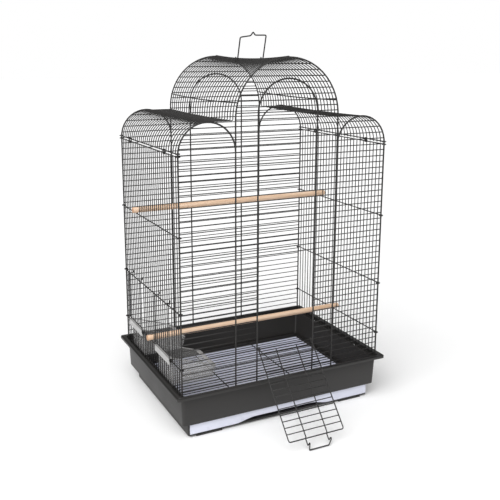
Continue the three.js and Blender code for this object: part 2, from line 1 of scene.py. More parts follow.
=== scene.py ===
"""A wire bird cage on a plastic base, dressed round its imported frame.

The wire panels, roof, doors, handle, perches, feeders, grille, drawer and base each have a
class, which holds the sizes, builds the meshes and dresses them. All lengths are in metres.
"""

from __future__ import annotations

import logging
import math
from dataclasses import dataclass
from enum import Enum
from typing import Callable, Iterable, Sequence

import bpy
from mathutils import Matrix, Vector


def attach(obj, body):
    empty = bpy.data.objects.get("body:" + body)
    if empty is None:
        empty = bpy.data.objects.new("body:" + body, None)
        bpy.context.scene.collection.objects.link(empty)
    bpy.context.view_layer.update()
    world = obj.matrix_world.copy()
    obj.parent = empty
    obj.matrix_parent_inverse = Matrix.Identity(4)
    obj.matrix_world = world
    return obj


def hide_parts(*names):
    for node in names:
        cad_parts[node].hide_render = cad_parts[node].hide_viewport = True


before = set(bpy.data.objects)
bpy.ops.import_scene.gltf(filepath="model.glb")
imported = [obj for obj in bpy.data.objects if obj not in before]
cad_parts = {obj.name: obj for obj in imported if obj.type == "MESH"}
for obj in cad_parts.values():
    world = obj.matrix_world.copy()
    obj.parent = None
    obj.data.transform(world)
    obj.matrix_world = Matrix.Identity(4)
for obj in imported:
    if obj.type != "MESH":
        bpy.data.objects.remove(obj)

log = logging.getLogger("bird_cage")

Point = tuple[float, float, float]
Profile = list[tuple[float, float]]
Colour = tuple[float, float, float, float]
Piece = bpy.types.Object


class Axis(Enum):
    """The axis that a straight wire runs along."""

    X = (0.0, math.pi / 2, 0.0)
    Y = (math.pi / 2, 0.0, 0.0)
    Z = (0.0, 0.0, 0.0)


class Side(Enum):
    """The left and the right side of the cage, as the sign of X."""

    LEFT = -1
    RIGHT = 1


class End(Enum):
    """The front and the back of the cage, as the sign of Y."""

    FRONT = -1
    BACK = 1


class Slot(Enum):
    """The material slots."""

    WIRE = "wire_paint"
    BASE = "base_plastic"
    DRAWER = "drawer_plastic"
    CLEAR = "clear_plastic"
    WOOD = "perch_wood"


# Shader graphs


class Term:
    """A shader socket that takes part in sums, products and comparisons."""

    def __init__(self, graph: Graph, socket: bpy.types.NodeSocket) -> None:
        """Keeps the graph and the socket."""
        self.graph = graph
        self.socket = socket

    def math(self, operation: str, first: Term | float, second: Term | float) -> Term:
        """Adds one Math node and gives its value."""
        settings = {"operation": operation}
        return self.graph.node("ShaderNodeMath", settings, {0: first, 1: second})

    def __add__(self, other: Term | float) -> Term:
        """Adds a value."""
        return self.math("ADD", self, other)

    def __mul__(self, other: Term | float) -> Term:
        """Multiplies by a value."""
        return self.math("MULTIPLY", self, other)

    def __gt__(self, other: Term | float) -> Term:
        """Gives 1 where this is the greater, and 0 elsewhere."""
        return self.math("GREATER_THAN", self, other)

    def __abs__(self) -> Term:
        """Gives the size without its sign."""
        return self.math("ABSOLUTE", self, 0.0)


class Graph:
    """The node tree of one material."""

    def __init__(self, name: str) -> None:
        """Makes an empty material of that name.

        Args:
            name: The material's name.
        """
        self.material = bpy.data.materials.new(name)
        self.material.use_nodes = True
        self.tree = self.material.node_tree
        self.tree.nodes.clear()

    def node(
        self,
        kind: str,
        settings: dict[str, object] | None = None,
        sockets: dict[int | str, object] | None = None,
        output: int | str = 0,
    ) -> Term:
        """Adds a node.

        Args:
            kind: The node's type.
            settings: Its settings.
            sockets: Values or links of its sockets.
            output: The output to give back.

        Returns:
            That output.
        """
        node = self.tree.nodes.new(kind)
        for key, value in (settings or {}).items():
            setattr(node, key, value)
        for key, value in (sockets or {}).items():
            if isinstance(value, Term):
                self.tree.links.new(value.socket, node.inputs[key])
            else:
                node.inputs[key].default_value = value
        return Term(self, node.outputs[output])

    def place(self, scale: Point = (1.0, 1.0, 1.0)) -> Term:
        """Gives the object's own coordinates in metres.

        Args:
            scale: How much each axis is stretched.

        Returns:
            The coordinates.
        """
        object_place = self.node("ShaderNodeTexCoord", output="Object")
        sockets = {"Vector": object_place, "Scale": scale}
        return self.node("ShaderNodeMapping", None, sockets)

    def noise(self, scale: float, detail: float, stretch: Point = (1.0, 1.0, 1.0)) -> Term:
        """Gives a cloudy value from 0 to 1, with so many clouds to the metre."""
        sockets = {"Vector": self.place(stretch), "Scale": scale, "Detail": detail}
        return self.node("ShaderNodeTexNoise", None, sockets)

    def blend(self, share: Term, first: Sequence[float], second: Sequence[float]) -> Term:
        """Blends two colours by the share of the second one."""
        settings = {"data_type": "RGBA", "clamp_factor": True}
        return self.node("ShaderNodeMix", settings, {0: share, 6: first, 7: second}, 2)

    def ramp(self, value: Term, low: float, high: float) -> Term:
        """Stretches a value, so that low gives 0 and high gives 1."""
        sockets = {"Value": value, "From Min": low, "From Max": high}
        return self.node("ShaderNodeMapRange", {"clamp": True}, sockets)

    def bump(self, height: Term, depth: float, strength: float) -> Term:
        """Gives the normal of a relief of that depth in metres."""
        sockets = {"Height": height, "Distance": depth, "Strength": strength}
        return self.node("ShaderNodeBump", None, sockets)

    def surface(self, shader: Term) -> bpy.types.Material:
        """Ends the material with that shader.

        Args:
            shader: The shader.

        Returns:
            The material.
        """
        output = self.tree.nodes.new("ShaderNodeOutputMaterial")
        self.tree.links.new(shader.socket, output.inputs["Surface"])
        return self.material

    def principled(self, sockets: dict[int | str, object]) -> bpy.types.Material:
        """Ends the material with a Principled shader that has those sockets."""
        return self.surface(self.node("ShaderNodeBsdfPrincipled", None, sockets))


def colour(red: int, green: int, blue: int) -> Colour:
    """Turns a colour of a picture into a colour of light.

    Args:
        red: Red from 0 to 255.
        green: Green from 0 to 255.
        blue: Blue from 0 to 255.

    Returns:
        The colour of light, with full cover.
    """
    whole = 255
    toe, toe_slope, offset, power = 0.04045, 12.92, 0.055, 2.4

    def light(value: int) -> float:
        """Turns one channel.

        Args:
            value: The channel from 0 to 255.

        Returns:
            Its light from 0 to 1.
        """
        share = value / whole
        if share <= toe:
            return share / toe_slope
        return ((share + offset) / (1 + offset)) ** power

    return light(red), light(green), light(blue), 1.0


# Finishes


@dataclass(frozen=True)
class WireCoat:
    """Semi-gloss charcoal coating on steel wire, a little paler where it is rubbed."""

    dark: Colour = colour(20, 19, 18)
    pale: Colour = colour(33, 31, 30)
    rubbed: Colour = colour(64, 60, 56)
    roughness: float = 0.46
    roughness_spread: float = 0.16
    cloud_scale: float = 26.0
    grain_scale: float = 1400.0
    grain_depth: float = 0.00006
    rub_scale: float = 90.0
    detail: float = 3.0
    rub_low: float = 0.66
    rub_high: float = 0.8
    clear_coat: float = 0.04
    grain_strength: float = 0.5

    def make(self) -> bpy.types.Material:
        """Builds the material.

        Returns:
            The material.
        """
        graph = Graph("wire_coat")
        clouds = graph.noise(self.cloud_scale, self.detail)
        grain = graph.noise(self.grain_scale, self.detail)
        rub = graph.ramp(graph.noise(self.rub_scale, self.detail), self.rub_low, self.rub_high)
        coat = graph.blend(clouds, self.dark, self.pale)
        worn = graph.blend(rub * clouds, coat, self.rubbed)
        sockets = {
            "Base Color": worn,
            "Roughness": clouds * self.roughness_spread + self.roughness,
            "Normal": graph.bump(grain, self.grain_depth, self.grain_strength),
            "Coat Weight": self.clear_coat,
        }
        return graph.principled(sockets)


@dataclass(frozen=True)
class BasePlastic:
    """Satin dark grey moulding with a fine grain, faint scuffs and dull patches."""

    body: Colour = colour(30, 29, 28)
    dull: Colour = colour(39, 37, 36)
    scuffed: Colour = colour(74, 72, 70)
    roughness: float = 0.4
    roughness_spread: float = 0.2
    patch_scale: float = 9.0
    grain_scale: float = 900.0
    grain_depth: float = 0.00012
    scuff_scale: float = 30.0
    scuff_stretch: Point = (1.0, 1.0, 26.0)
    detail: float = 4.0
    scuff_low: float = 0.64
    scuff_high: float = 0.74
    scuff_share: float = 0.35
    scuff_roughness: float = 0.15
    grain_strength: float = 0.35

    def make(self) -> bpy.types.Material:
        """Builds the material.

        Returns:
            The material.
        """
        graph = Graph("base_plastic_finish")
        patches = graph.noise(self.patch_scale, self.detail)
        grain = graph.noise(self.grain_scale, self.detail)
        streaks = graph.noise(self.scuff_scale, self.detail, self.scuff_stretch)
        scuffs = graph.ramp(streaks, self.scuff_low, self.scuff_high)
        plain = graph.blend(patches, self.body, self.dull)
        dullness = patches * self.roughness_spread + scuffs * self.scuff_roughness
        sockets = {
            "Base Color": graph.blend(scuffs * self.scuff_share, plain, self.scuffed),
            "Roughness": dullness + self.roughness,
            "Normal": graph.bump(grain, self.grain_depth, self.grain_strength),
        }
        return graph.principled(sockets)


@dataclass(frozen=True)
class DrawerPlastic:
    """Pale lavender-white moulding, slightly milky, with soft flow marks and fine scratches."""

    body: Colour = colour(212, 214, 227)
    flow: Colour = colour(203, 206, 220)
    scratched: Colour = colour(184, 187, 202)
    roughness: float = 0.36
    roughness_spread: float = 0.14
    flow_scale: float = 7.0
    grain_scale: float = 700.0
    grain_depth: float = 0.00005
    scratch_scale: float = 60.0
    scratch_stretch: Point = (1.0, 18.0, 1.0)
    detail: float = 3.0
    scratch_low: float = 0.66
    scratch_high: float = 0.72
    scratch_share: float = 0.3
    grain_strength: float = 0.3

    def make(self) -> bpy.types.Material:
        """Builds the material.

        Returns:
            The material.
        """
        graph = Graph("drawer_plastic_finish")
        flow = graph.noise(self.flow_scale, self.detail)
        grain = graph.noise(self.grain_scale, self.detail)
        streaks = graph.noise(self.scratch_scale, self.detail, self.scratch_stretch)
        scratches = graph.ramp(streaks, self.scratch_low, self.scratch_high)
        plain = graph.blend(flow, self.body, self.flow)
        sockets = {
            "Base Color": graph.blend(scratches * self.scratch_share, plain, self.scratched),
            "Roughness": flow * self.roughness_spread + self.roughness,
            "Normal": graph.bump(grain, self.grain_depth, self.grain_strength),
        }
        return graph.principled(sockets)


@dataclass(frozen=True)
class ClearPlastic:
    """Clear moulding, a little hazy, with rubbed patches and a denser look at its edges."""

    name: str = "clear_plastic_finish"
    body: Colour = colour(204, 203, 202)
    haze: Colour = colour(180, 179, 178)
    cover: float = 0.06
    haze_cover: float = 0.08
    edge_cover: float = 0.45
    roughness: float = 0.12
    roughness_spread: float = 0.22
    haze_scale: float = 34.0
    grain_scale: float = 420.0
    grain_depth: float = 0.00006
    edge_blend: float = 0.35
    grain_strength: float = 0.3
    detail: float = 3.0

    def make(self) -> bpy.types.Material:
        """Builds the material.

        Returns:
            The material.
        """
        graph = Graph(self.name)
        haze = graph.noise(self.haze_scale, self.detail)
        grain = graph.noise(self.grain_scale, self.detail)
        edge = graph.node("ShaderNodeLayerWeight", None, {"Blend": self.edge_blend}, "Facing")
        cover = haze * self.haze_cover + edge * self.edge_cover + self.cover
        sockets = {
            "Base Color": graph.blend(haze, self.body, self.haze),
            "Roughness": haze * self.roughness_spread + self.roughness,
            "Alpha": cover,
            "Normal": graph.bump(grain, self.grain_depth, self.grain_strength),
        }
        return graph.principled(sockets)


@dataclass(frozen=True)
class ClearRim(ClearPlastic):
    """The clear moulding where it is thick, at rim and lip: denser and greyer."""

    name: str = "clear_rim_finish"
    body: Colour = colour(186, 185, 184)
    haze: Colour = colour(164, 163, 162)
    cover: float = 0.36
    haze_cover: float = 0.2


@dataclass(frozen=True)
class PerchWood:
    """Pale sanded dowel with long grain, a few darker streaks and darker end grain."""

    early: Colour = colour(236, 208, 183)
    late: Colour = colour(214, 178, 146)
    streak: Colour = colour(160, 112, 80)
    end: Colour = colour(188, 148, 116)
    roughness: float = 0.6
    roughness_spread: float = 0.2
    grain_scale: float = 150.0
    grain_stretch: Point = (0.06, 1.0, 1.0)
    grain_low: float = 0.3
    grain_high: float = 0.7
    streak_scale: float = 90.0
    streak_stretch: Point = (0.035, 1.0, 1.0)
    streak_low: float = 0.6
    streak_high: float = 0.72
    streak_share: float = 0.6
    pore_scale: float = 900.0
    pore_stretch: Point = (0.05, 1.0, 1.0)
    pore_depth: float = 0.0002
    pore_strength: float = 0.5
    half_length: float = 0.2352
    detail: float = 5.0

    def make(self) -> bpy.types.Material:
        """Builds the material.

        Returns:
            The material.
        """
        graph = Graph("perch_wood_finish")
        grain = graph.noise(self.grain_scale, self.detail, self.grain_stretch)
        grain = graph.ramp(grain, self.grain_low, self.grain_high)
        streaks = graph.noise(self.streak_scale, self.detail, self.streak_stretch)
        streaks = graph.ramp(streaks, self.streak_low, self.streak_high)
        pores = graph.noise(self.pore_scale, self.detail, self.pore_stretch)
        along = graph.node("ShaderNodeSeparateXYZ", None, {"Vector": graph.place()}, "X")
        ends = abs(along) > self.half_length
        long_grain = graph.blend(grain, self.early, self.late)
        marked = graph.blend(streaks * self.streak_share, long_grain, self.streak)
        sockets = {
            "Base Color": graph.blend(ends, marked, self.end),
            "Roughness": grain * self.roughness_spread + self.roughness,
            "Normal": graph.bump(pores, self.pore_depth, self.pore_strength),
        }
        return graph.principled(sockets)


class Finishes:
    """One of each material, shared by all the pieces."""

    def __init__(self) -> None:
        """Builds the materials."""
        self.of = {
            Slot.WIRE: WireCoat().make(),
            Slot.BASE: BasePlastic().make(),
            Slot.DRAWER: DrawerPlastic().make(),
            Slot.CLEAR: ClearPlastic().make(),
            Slot.WOOD: PerchWood().make(),
        }
        self.clear_rim = ClearRim().make()


# The bench: operators that shape a piece by hand


class Bench:
    """Operators that shape a piece by hand, on one active object."""

    UPWARD = 0.5

    @staticmethod
    def clear() -> None:
        """Deselects everything, so that an operator acts on new work alone."""
        if bpy.context.object is not None and bpy.context.object.mode != "OBJECT":
            bpy.ops.object.mode_set(mode="OBJECT")
        bpy.ops.object.select_all(action="DESELECT")

    @staticmethod
    def pick(piece: Piece) -> None:
        """Makes one piece the only selected and the active one.

        Args:
            piece: The piece.
        """
        Bench.clear()
        piece.select_set(True)
        bpy.context.view_layer.objects.active = piece

    @staticmethod
    def added(name: str) -> Piece:
        """Names the object that an operator has just added.

        Args:
            name: Its new name.

        Returns:
            The object.
        """
        piece = bpy.context.object
        piece.name = name
        piece.data.name = name
        return piece

    @staticmethod
    def settle(piece: Piece) -> None:
        """Puts a piece's place, turn and size into its mesh."""
        Bench.pick(piece)
        bpy.ops.object.transform_apply(location=True, rotation=True, scale=True)

    @staticmethod
    def deselect(piece: Piece, kind: str) -> None:
        """Deselects all of a piece's mesh and sets what kind of part is selected next.

        Args:
            piece: The piece.
            kind: FACE, EDGE or VERT.
        """
        Bench.pick(piece)
        bpy.ops.object.mode_set(mode="EDIT")
        bpy.ops.mesh.select_mode(type=kind)
        bpy.ops.mesh.select_all(action="DESELECT")
        bpy.ops.object.mode_set(mode="OBJECT")

    @staticmethod
    def looks_up(face: bpy.types.MeshPolygon) -> bool:
        """Says whether a face looks up."""
        return face.normal.z > Bench.UPWARD

    @staticmethod
    def edit_faces(
        piece: Piece, wanted: Callable[[bpy.types.MeshPolygon], bool]
    ) -> None:
        """Opens a piece for editing with some of its faces selected.

        Args:
            piece: The piece.
            wanted: Says whether a face is selected, by its centre or normal.
        """
        Bench.deselect(piece, "FACE")
        for face in piece.data.polygons:
            face.select = wanted(face)
        bpy.ops.object.mode_set(mode="EDIT")

    @staticmethod
    def edit_edges(piece: Piece, wanted: Callable[[Vector, Vector], bool]) -> None:
        """Opens a piece for editing with some of its edges selected.

        Args:
            piece: The piece.
            wanted: Says whether an edge is selected, by its two ends.
        """
        Bench.deselect(piece, "EDGE")
        points = [point.co.copy() for point in piece.data.vertices]
        for edge in piece.data.edges:
            first, second = edge.vertices
            edge.select = wanted(points[first], points[second])
        bpy.ops.object.mode_set(mode="EDIT")

    @staticmethod
    def edit_points(piece: Piece, wanted: Callable[[Vector], bool]) -> None:
        """Opens a piece for editing with some of its points selected.

        Args:
            piece: The piece.
            wanted: Says whether a point is selected, by its place.
        """
        Bench.deselect(piece, "VERT")
        for point in piece.data.vertices:
            point.select = wanted(point.co)
        bpy.ops.object.mode_set(mode="EDIT")

    @staticmethod
    def finish_edit() -> None:
        """Closes the piece that is open for editing."""
        bpy.ops.object.mode_set(mode="OBJECT")

    @staticmethod
    def extrude(move: Point) -> None:
        """Draws the selected faces out along a move."""
        bpy.ops.mesh.extrude_region_move(TRANSFORM_OT_translate={"value": move})

    @staticmethod
    def modify(piece: Piece, kind: str, settings: dict[str, object]) -> None:
        """Adds a modifier and applies it.

        Args:
            piece: The piece.
            kind: The modifier's type.
            settings: Its settings.
        """
        Bench.pick(piece)
        modifier = piece.modifiers.new(kind.lower(), kind)
        for key, value in settings.items():
            setattr(modifier, key, value)
        bpy.ops.object.modifier_apply(modifier=modifier.name)

    @staticmethod
    def soften(piece: Piece, width: float, degrees: float, steps: int = 2) -> None:
        """Bevels a piece's sharp edges.

        Args:
            piece: The piece.
            width: The bevel's width.
            degrees: The least angle of an edge that is bevelled.
            steps: The bevel's segments.
        """
        settings = {
            "width": width,
            "segments": steps,
            "limit_method": "ANGLE",
            "angle_limit": math.radians(degrees),
            "use_clamp_overlap": True,
        }
        Bench.modify(piece, "BEVEL", settings)

    @staticmethod
    def smooth(piece: Piece, degrees: float = 50.0) -> None:
        """Shades a piece smooth, apart from edges sharper than an angle."""
        Bench.pick(piece)
        bpy.ops.object.shade_smooth_by_angle(angle=math.radians(degrees))

    @staticmethod
    def join(name: str, pieces: Sequence[Piece]) -> Piece:
        """Joins objects into one.

        Args:
            name: The joined piece's name.
            pieces: The objects.

        Returns:
            The joined piece.
        """
        Bench.clear()
        for piece in pieces:
            piece.select_set(True)
        bpy.context.view_layer.objects.active = pieces[0]
        if len(pieces) > 1:
            bpy.ops.object.join()
        return Bench.added(name)

    @staticmethod
    def copies(
        piece: Piece, moves: Iterable[Matrix]
    ) -> list[Piece]:
        """Copies a piece, each copy with its own mesh, and takes the pattern away.

        Args:
            piece: The piece that was modelled once.
            moves: Where each copy goes.

        Returns:
            The copies.
        """
        made = []
        for move in moves:
            copy = piece.copy()
            copy.data = piece.data.copy()
            copy.data.transform(move)
            bpy.context.collection.objects.link(copy)
            made.append(copy)
        bpy.data.objects.remove(piece)
        return made

    @staticmethod
    def combine(piece: Piece, other: Piece, operation: str) -> None:
        """Cuts a closed shape out of a piece or adds it, and takes that shape away.

        Args:
            piece: The piece.
            other: The closed shape.
            operation: DIFFERENCE or UNION.
        """
        settings = {"operation": operation, "object": other, "solver": "EXACT"}
        Bench.modify(piece, "BOOLEAN", settings)
        bpy.data.objects.remove(other)

    @staticmethod
    def cut(piece: Piece, cutter: Piece) -> None:
        """Cuts a closed shape out of a piece, and takes the cutter away."""
        Bench.combine(piece, cutter, "DIFFERENCE")

    @staticmethod
    def box(name: str, low: Point, high: Point) -> Piece:
        """Adds a block between two corners.

        Args:
            name: Its name.
            low: Its lowest corner.
            high: Its highest corner.

        Returns:
            The block, with its place in its mesh.
        """
        Bench.clear()
        middle = (Vector(low) + Vector(high)) / 2
        bpy.ops.mesh.primitive_cube_add(size=1, location=middle)
        block = Bench.added(name)
        block.scale = Vector(high) - Vector(low)
        Bench.settle(block)
        return block


class WireBench(Bench):
    """Makes round wires, straight or bent."""

    SIDES = 8
    RING_STEPS = 2
    END_SHARE = 0.3

    @staticmethod
    def straight(
        name: str, axis: Axis, middle: Point, length: float, thickness: float
    ) -> Piece:
        """Cuts a straight round wire and takes the edge off its ends.

        Args:
            name: Its name.
            axis: The axis that it runs along.
            middle: Its middle.
            length: Its length.
            thickness: Its diameter.

        Returns:
            The wire, with its place in its mesh.
        """
        Bench.clear()
        bpy.ops.mesh.primitive_cylinder_add(
            vertices=WireBench.SIDES,
            radius=thickness / 2,
            depth=length,
            location=middle,
            rotation=axis.value,
        )
        wire = Bench.added(name)
        sides_of_cap = WireBench.SIDES
        Bench.edit_faces(wire, lambda face: len(face.vertices) == sides_of_cap)
        bpy.ops.mesh.bevel(offset=thickness * WireBench.END_SHARE, segments=1, affect="EDGES")
        Bench.finish_edit()
        Bench.settle(wire)
        Bench.smooth(wire)
        return wire

    @staticmethod
    def bent(
        name: str, points: Sequence[Point], thickness: float, closed: bool = False
    ) -> Piece:
        """Bends a round wire along points.

        Args:
            name: Its name.
            points: The points of its middle line.
            thickness: Its diameter.
            closed: Whether it comes back to its start.

        Returns:
            The wire as a mesh.
        """
        Bench.clear()
        bpy.ops.curve.primitive_nurbs_path_add(location=(0, 0, 0))
        wire = Bench.added(name)
        curve = wire.data
        curve.splines.clear()
        line = curve.splines.new("POLY")
        line.points.add(len(points) - 1)
        for knot, place in zip(line.points, points):
            knot.co = (*place, 1.0)
        line.use_cyclic_u = closed
        line.use_smooth = True
        curve.dimensions = "3D"
        curve.bevel_depth = thickness / 2
        curve.bevel_resolution = WireBench.RING_STEPS
        curve.use_fill_caps = not closed
        bpy.ops.object.convert(target="MESH")
        wire = Bench.added(name)
        Bench.smooth(wire)
        return wire

    @staticmethod
    def arc(
        middle: tuple[float, float], radius: float, start: float, stop: float, steps: int
    ) -> Profile:
        """Gives the points of an arc.

        Args:
            middle: Its centre.
            radius: Its radius.
            start: Its first angle in degrees.
            stop: Its last angle in degrees.
            steps: Its number of steps.

        Returns:
            The points.
        """
        points = []
        for step in range(steps + 1):
            angle = math.radians(start + (stop - start) * step / steps)
            points.append(
                (middle[0] + radius * math.cos(angle), middle[1] + radius * math.sin(angle))
            )
        return points

    @staticmethod
    def rounded(points: Sequence[Point], radius: float, steps: int = 4) -> list[Point]:
        """Rounds each corner of a bent line.

        Args:
            points: The line's corners.
            radius: How far from each corner the bend starts.
            steps: The number of steps of each bend.

        Returns:
            The points of the rounded line.
        """
        corners = [Vector(point) for point in points]
        line = [corners[0]]
        for before, corner, after in zip(corners, corners[1:], corners[2:]):
            back = before - corner
            ahead = after - corner
            reach = min(radius, back.length / 2, ahead.length / 2)
            start = corner + back.normalized() * reach
            stop = corner + ahead.normalized() * reach
            for step in range(steps + 1):
                share = step / steps
                line.append(
                    start * (1 - share) ** 2
                    + corner * (2 * share * (1 - share))
                    + stop * share**2
                )
        line.append(corners[-1])
        return [tuple(point) for point in line]


def steps_between(first: float, last: float, pitch: float) -> list[float]:
    """Gives evenly spaced places, both ends included."""
    count = round((last - first) / pitch)
    return [first + pitch * index for index in range(count + 1)]


def one_turn(steps: int) -> list[tuple[float, float]]:
    """Gives the shares of a full turn in that many steps, each with its angle."""
    shares = [step / steps for step in range(steps + 1)]
    return [(share, 2 * math.pi * share) for share in shares]


def along_y(places: Iterable[float]) -> list[Matrix]:
    """Gives a move along Y for each place."""
    return [Matrix.Translation((0.0, place, 0.0)) for place in places]


def hinged(place: Point, degrees: float) -> Matrix:
    """Turns what is modelled round the X axis, and moves it to its hinge."""
    return Matrix.Translation(place) @ Matrix.Rotation(math.radians(degrees), 4, "X")


def dress(
    piece: Piece,
    finishes: Finishes,
    slot: Slot,
    body: str,
    *nodes: str,
    finish: bpy.types.Material | None = None,
) -> Piece:
    """Gives a piece its finish, its body and the nodes that it stands for.

    Args:
        piece: The piece.
        finishes: The materials.
        slot: The piece's material slot.
        body: The body that it rides on.
        nodes: The nodes that it stands for.
        finish: Another finish for the same slot.

    Returns:
        The piece.
    """
    piece.data.materials.clear()
    piece.data.materials.append(finish or finishes.of[slot])
    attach(piece, body)
    if nodes:
        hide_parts(*nodes)
    log.info("%s: %d faces on %s", piece.name, len(piece.data.polygons), body)
    return piece


# Wire body


@dataclass
class CageShape:
    """The main lines of the wire body, which its panels share."""

    half_width: float = 0.225
    half_depth: float = 0.168
    pitch: float = 0.012
    foot: float = 0.0903
    eave: float = 0.558
    shoulder_radius: float = 0.057
    vault_radius: float = 0.111
    vault_spring: float = 0.618
    inner_post: float = 0.0643
    inner_spring: float = 0.626
    sill: float = 0.1605
    door_top: float = 0.3525
    bottom_rail: float = 0.0915
    fine_wire: float = 0.002
    arch_wire: float = 0.0032
    corner_wire: float = 0.0034
    rail_wire: float = 0.0024
    rail_x: float = 0.2268
    rail_heights: tuple[float, ...] = (0.1475, 0.259, 0.4065, 0.5553)
    roof_rail: float = 0.5607
    crest_sag: float = 0.006
    eye_radius: float = 0.0036
    front_bay: tuple[float, float] = (-0.120, -0.024)
    back_bay: tuple[float, float] = (0.048, 0.144)
    upper_perch: tuple[float, float] = (0.072, 0.414)
    lower_perch: tuple[float, float] = (0.0, 0.155)
    shoulder_steps: int = 20
    vault_steps: int = 40

    def sag_at(self, y: float, height: float) -> float:
        """Gives how far the roof's wires hang down: most at the crest, in the cage's middle.

        Args:
            y: The place along the cage.
            height: The height that the wire would have.

        Returns:
            The drop.
        """
        crest = self.vault_spring + self.vault_radius
        slack = 1 - (y / self.half_depth) ** 2
        return self.crest_sag * slack * (height - self.eave) / (crest - self.eave)

    def half_width_at(self, height: float) -> float:
        """Gives half the cage's width at a height.

        Args:
            height: The height above the floor.

        Returns:
            Half the width between the outer wires.
        """
        if height <= self.eave:
            return self.half_width
        if height < self.eave + self.shoulder_radius:
            rise = height - self.eave
            centre = self.half_width - self.shoulder_radius
            return centre + math.sqrt(self.shoulder_radius**2 - rise**2)
        if height <= self.vault_spring:
            return self.vault_radius
        return math.sqrt(self.vault_radius**2 - (height - self.vault_spring) ** 2)


@dataclass
class EndPanel:
    """The front or the back panel: two shoulder arches, two tall arches and the rows."""

    shape: CageShape
    end: End
    tower_first: float = 0.6391
    tower_pitch: float = 0.0112
    row_stand_off: float = 0.002
    crown_gap: float = 0.008

    @property
    def level(self) -> float:
        """The Y of the panel's posts."""
        return self.end.value * self.shape.half_depth

    @property
    def row_level(self) -> float:
        """The Y of the rows, which lie against the inside of the posts."""
        return self.level - self.end.value * self.row_stand_off

    def upright(self, profile: Profile) -> list[Point]:
        """Stands a profile up in the panel's plane."""
        return [(x, self.level, z) for x, z in profile]

    def arches(self, prefix: str) -> Piece:
        """Bends the corner posts with their shoulders and the two tall arches.

        Args:
            prefix: The panel's name.

        Returns:
            The arches as one piece.
        """
        shape = self.shape
        wires = []
        for side in Side:
            centre = side.value * (shape.half_width - shape.shoulder_radius)
            start, stop = (0.0, 180.0) if side is Side.RIGHT else (180.0, 0.0)
            profile = [(side.value * shape.half_width, shape.foot)]
            profile += WireBench.arc(
                (centre, shape.eave), shape.shoulder_radius, start, stop, shape.shoulder_steps
            )
            name = f"{prefix}_corner"
            wires.append(WireBench.bent(name, self.upright(profile), shape.corner_wire))
        for radius, spring in (
            (shape.vault_radius, shape.vault_spring),
            (shape.inner_post, shape.inner_spring),
        ):
            profile = [(radius, shape.foot)]
            profile += WireBench.arc((0.0, spring), radius, 0.0, 180.0, shape.vault_steps)
            profile.append((-radius, shape.foot))
            wires.append(WireBench.bent(f"{prefix}_arch", self.upright(profile), shape.arch_wire))
        rail = WireBench.straight(
            f"{prefix}_foot",
            Axis.X,
            (0.0, self.level, shape.bottom_rail),
            2 * shape.half_width,
            shape.rail_wire,
        )
        wires.append(rail)
        return Bench.join(f"{prefix}_arches", wires)

    def row_heights(self) -> list[float]:
        """Works out where the rows go, closer together in the tower.

        Returns:
            Their heights, from the lowest up.
        """
        shape = self.shape
        below = math.floor((shape.sill - shape.bottom_rail) / shape.pitch)
        lowest = shape.sill - below * shape.pitch
        rows = steps_between(lowest, self.tower_first - shape.pitch, shape.pitch)
        crown = shape.vault_spring + shape.vault_radius - self.crown_gap
        height = self.tower_first
        while height < crown:
            rows.append(height)
            height += self.tower_pitch
        return rows

    def row(self, name: str, left: float, right: float, height: float) -> Piece:
        """Cuts one row between two places.

        Args:
            name: Its name.
            left: The X of its left end.
            right: The X of its right end.
            height: Its height.

        Returns:
            The row.
        """
        is_hinge = self.end is End.FRONT and abs(height - self.shape.sill) < self.row_stand_off
        level = self.level if is_hinge else self.row_level
        middle = ((left + right) / 2, level, height)
        return WireBench.straight(name, Axis.X, middle, right - left, self.shape.fine_wire)

    def rows(self, prefix: str) -> Piece:
        """Cuts the rows, which stop at the door opening in the front panel.

        Args:
            prefix: The panel's name.

        Returns:
            The rows as one piece.
        """
        shape = self.shape
        wires = []
        name = f"{prefix}_row"
        for height in self.row_heights():
            reach = shape.half_width_at(height)
            in_opening = shape.sill + shape.pitch / 2 < height < shape.door_top - shape.pitch / 2
            if self.end is End.FRONT and in_opening:
                wires.append(self.row(name, -reach, -shape.inner_post, height))
                wires.append(self.row(name, shape.inner_post, reach, height))
            else:
                wires.append(self.row(name, -reach, reach, height))
        return Bench.join(f"{prefix}_rows", wires)

    def build(self, finishes: Finishes) -> None:
        """Makes and dresses the panel.

        Args:
            finishes: The materials.
        """
        node = "front_panel" if self.end is End.FRONT else "back_panel"
        dress(self.arches(node), finishes, Slot.WIRE, "cage", node)
        dress(self.rows(node), finishes, Slot.WIRE, "cage", node)


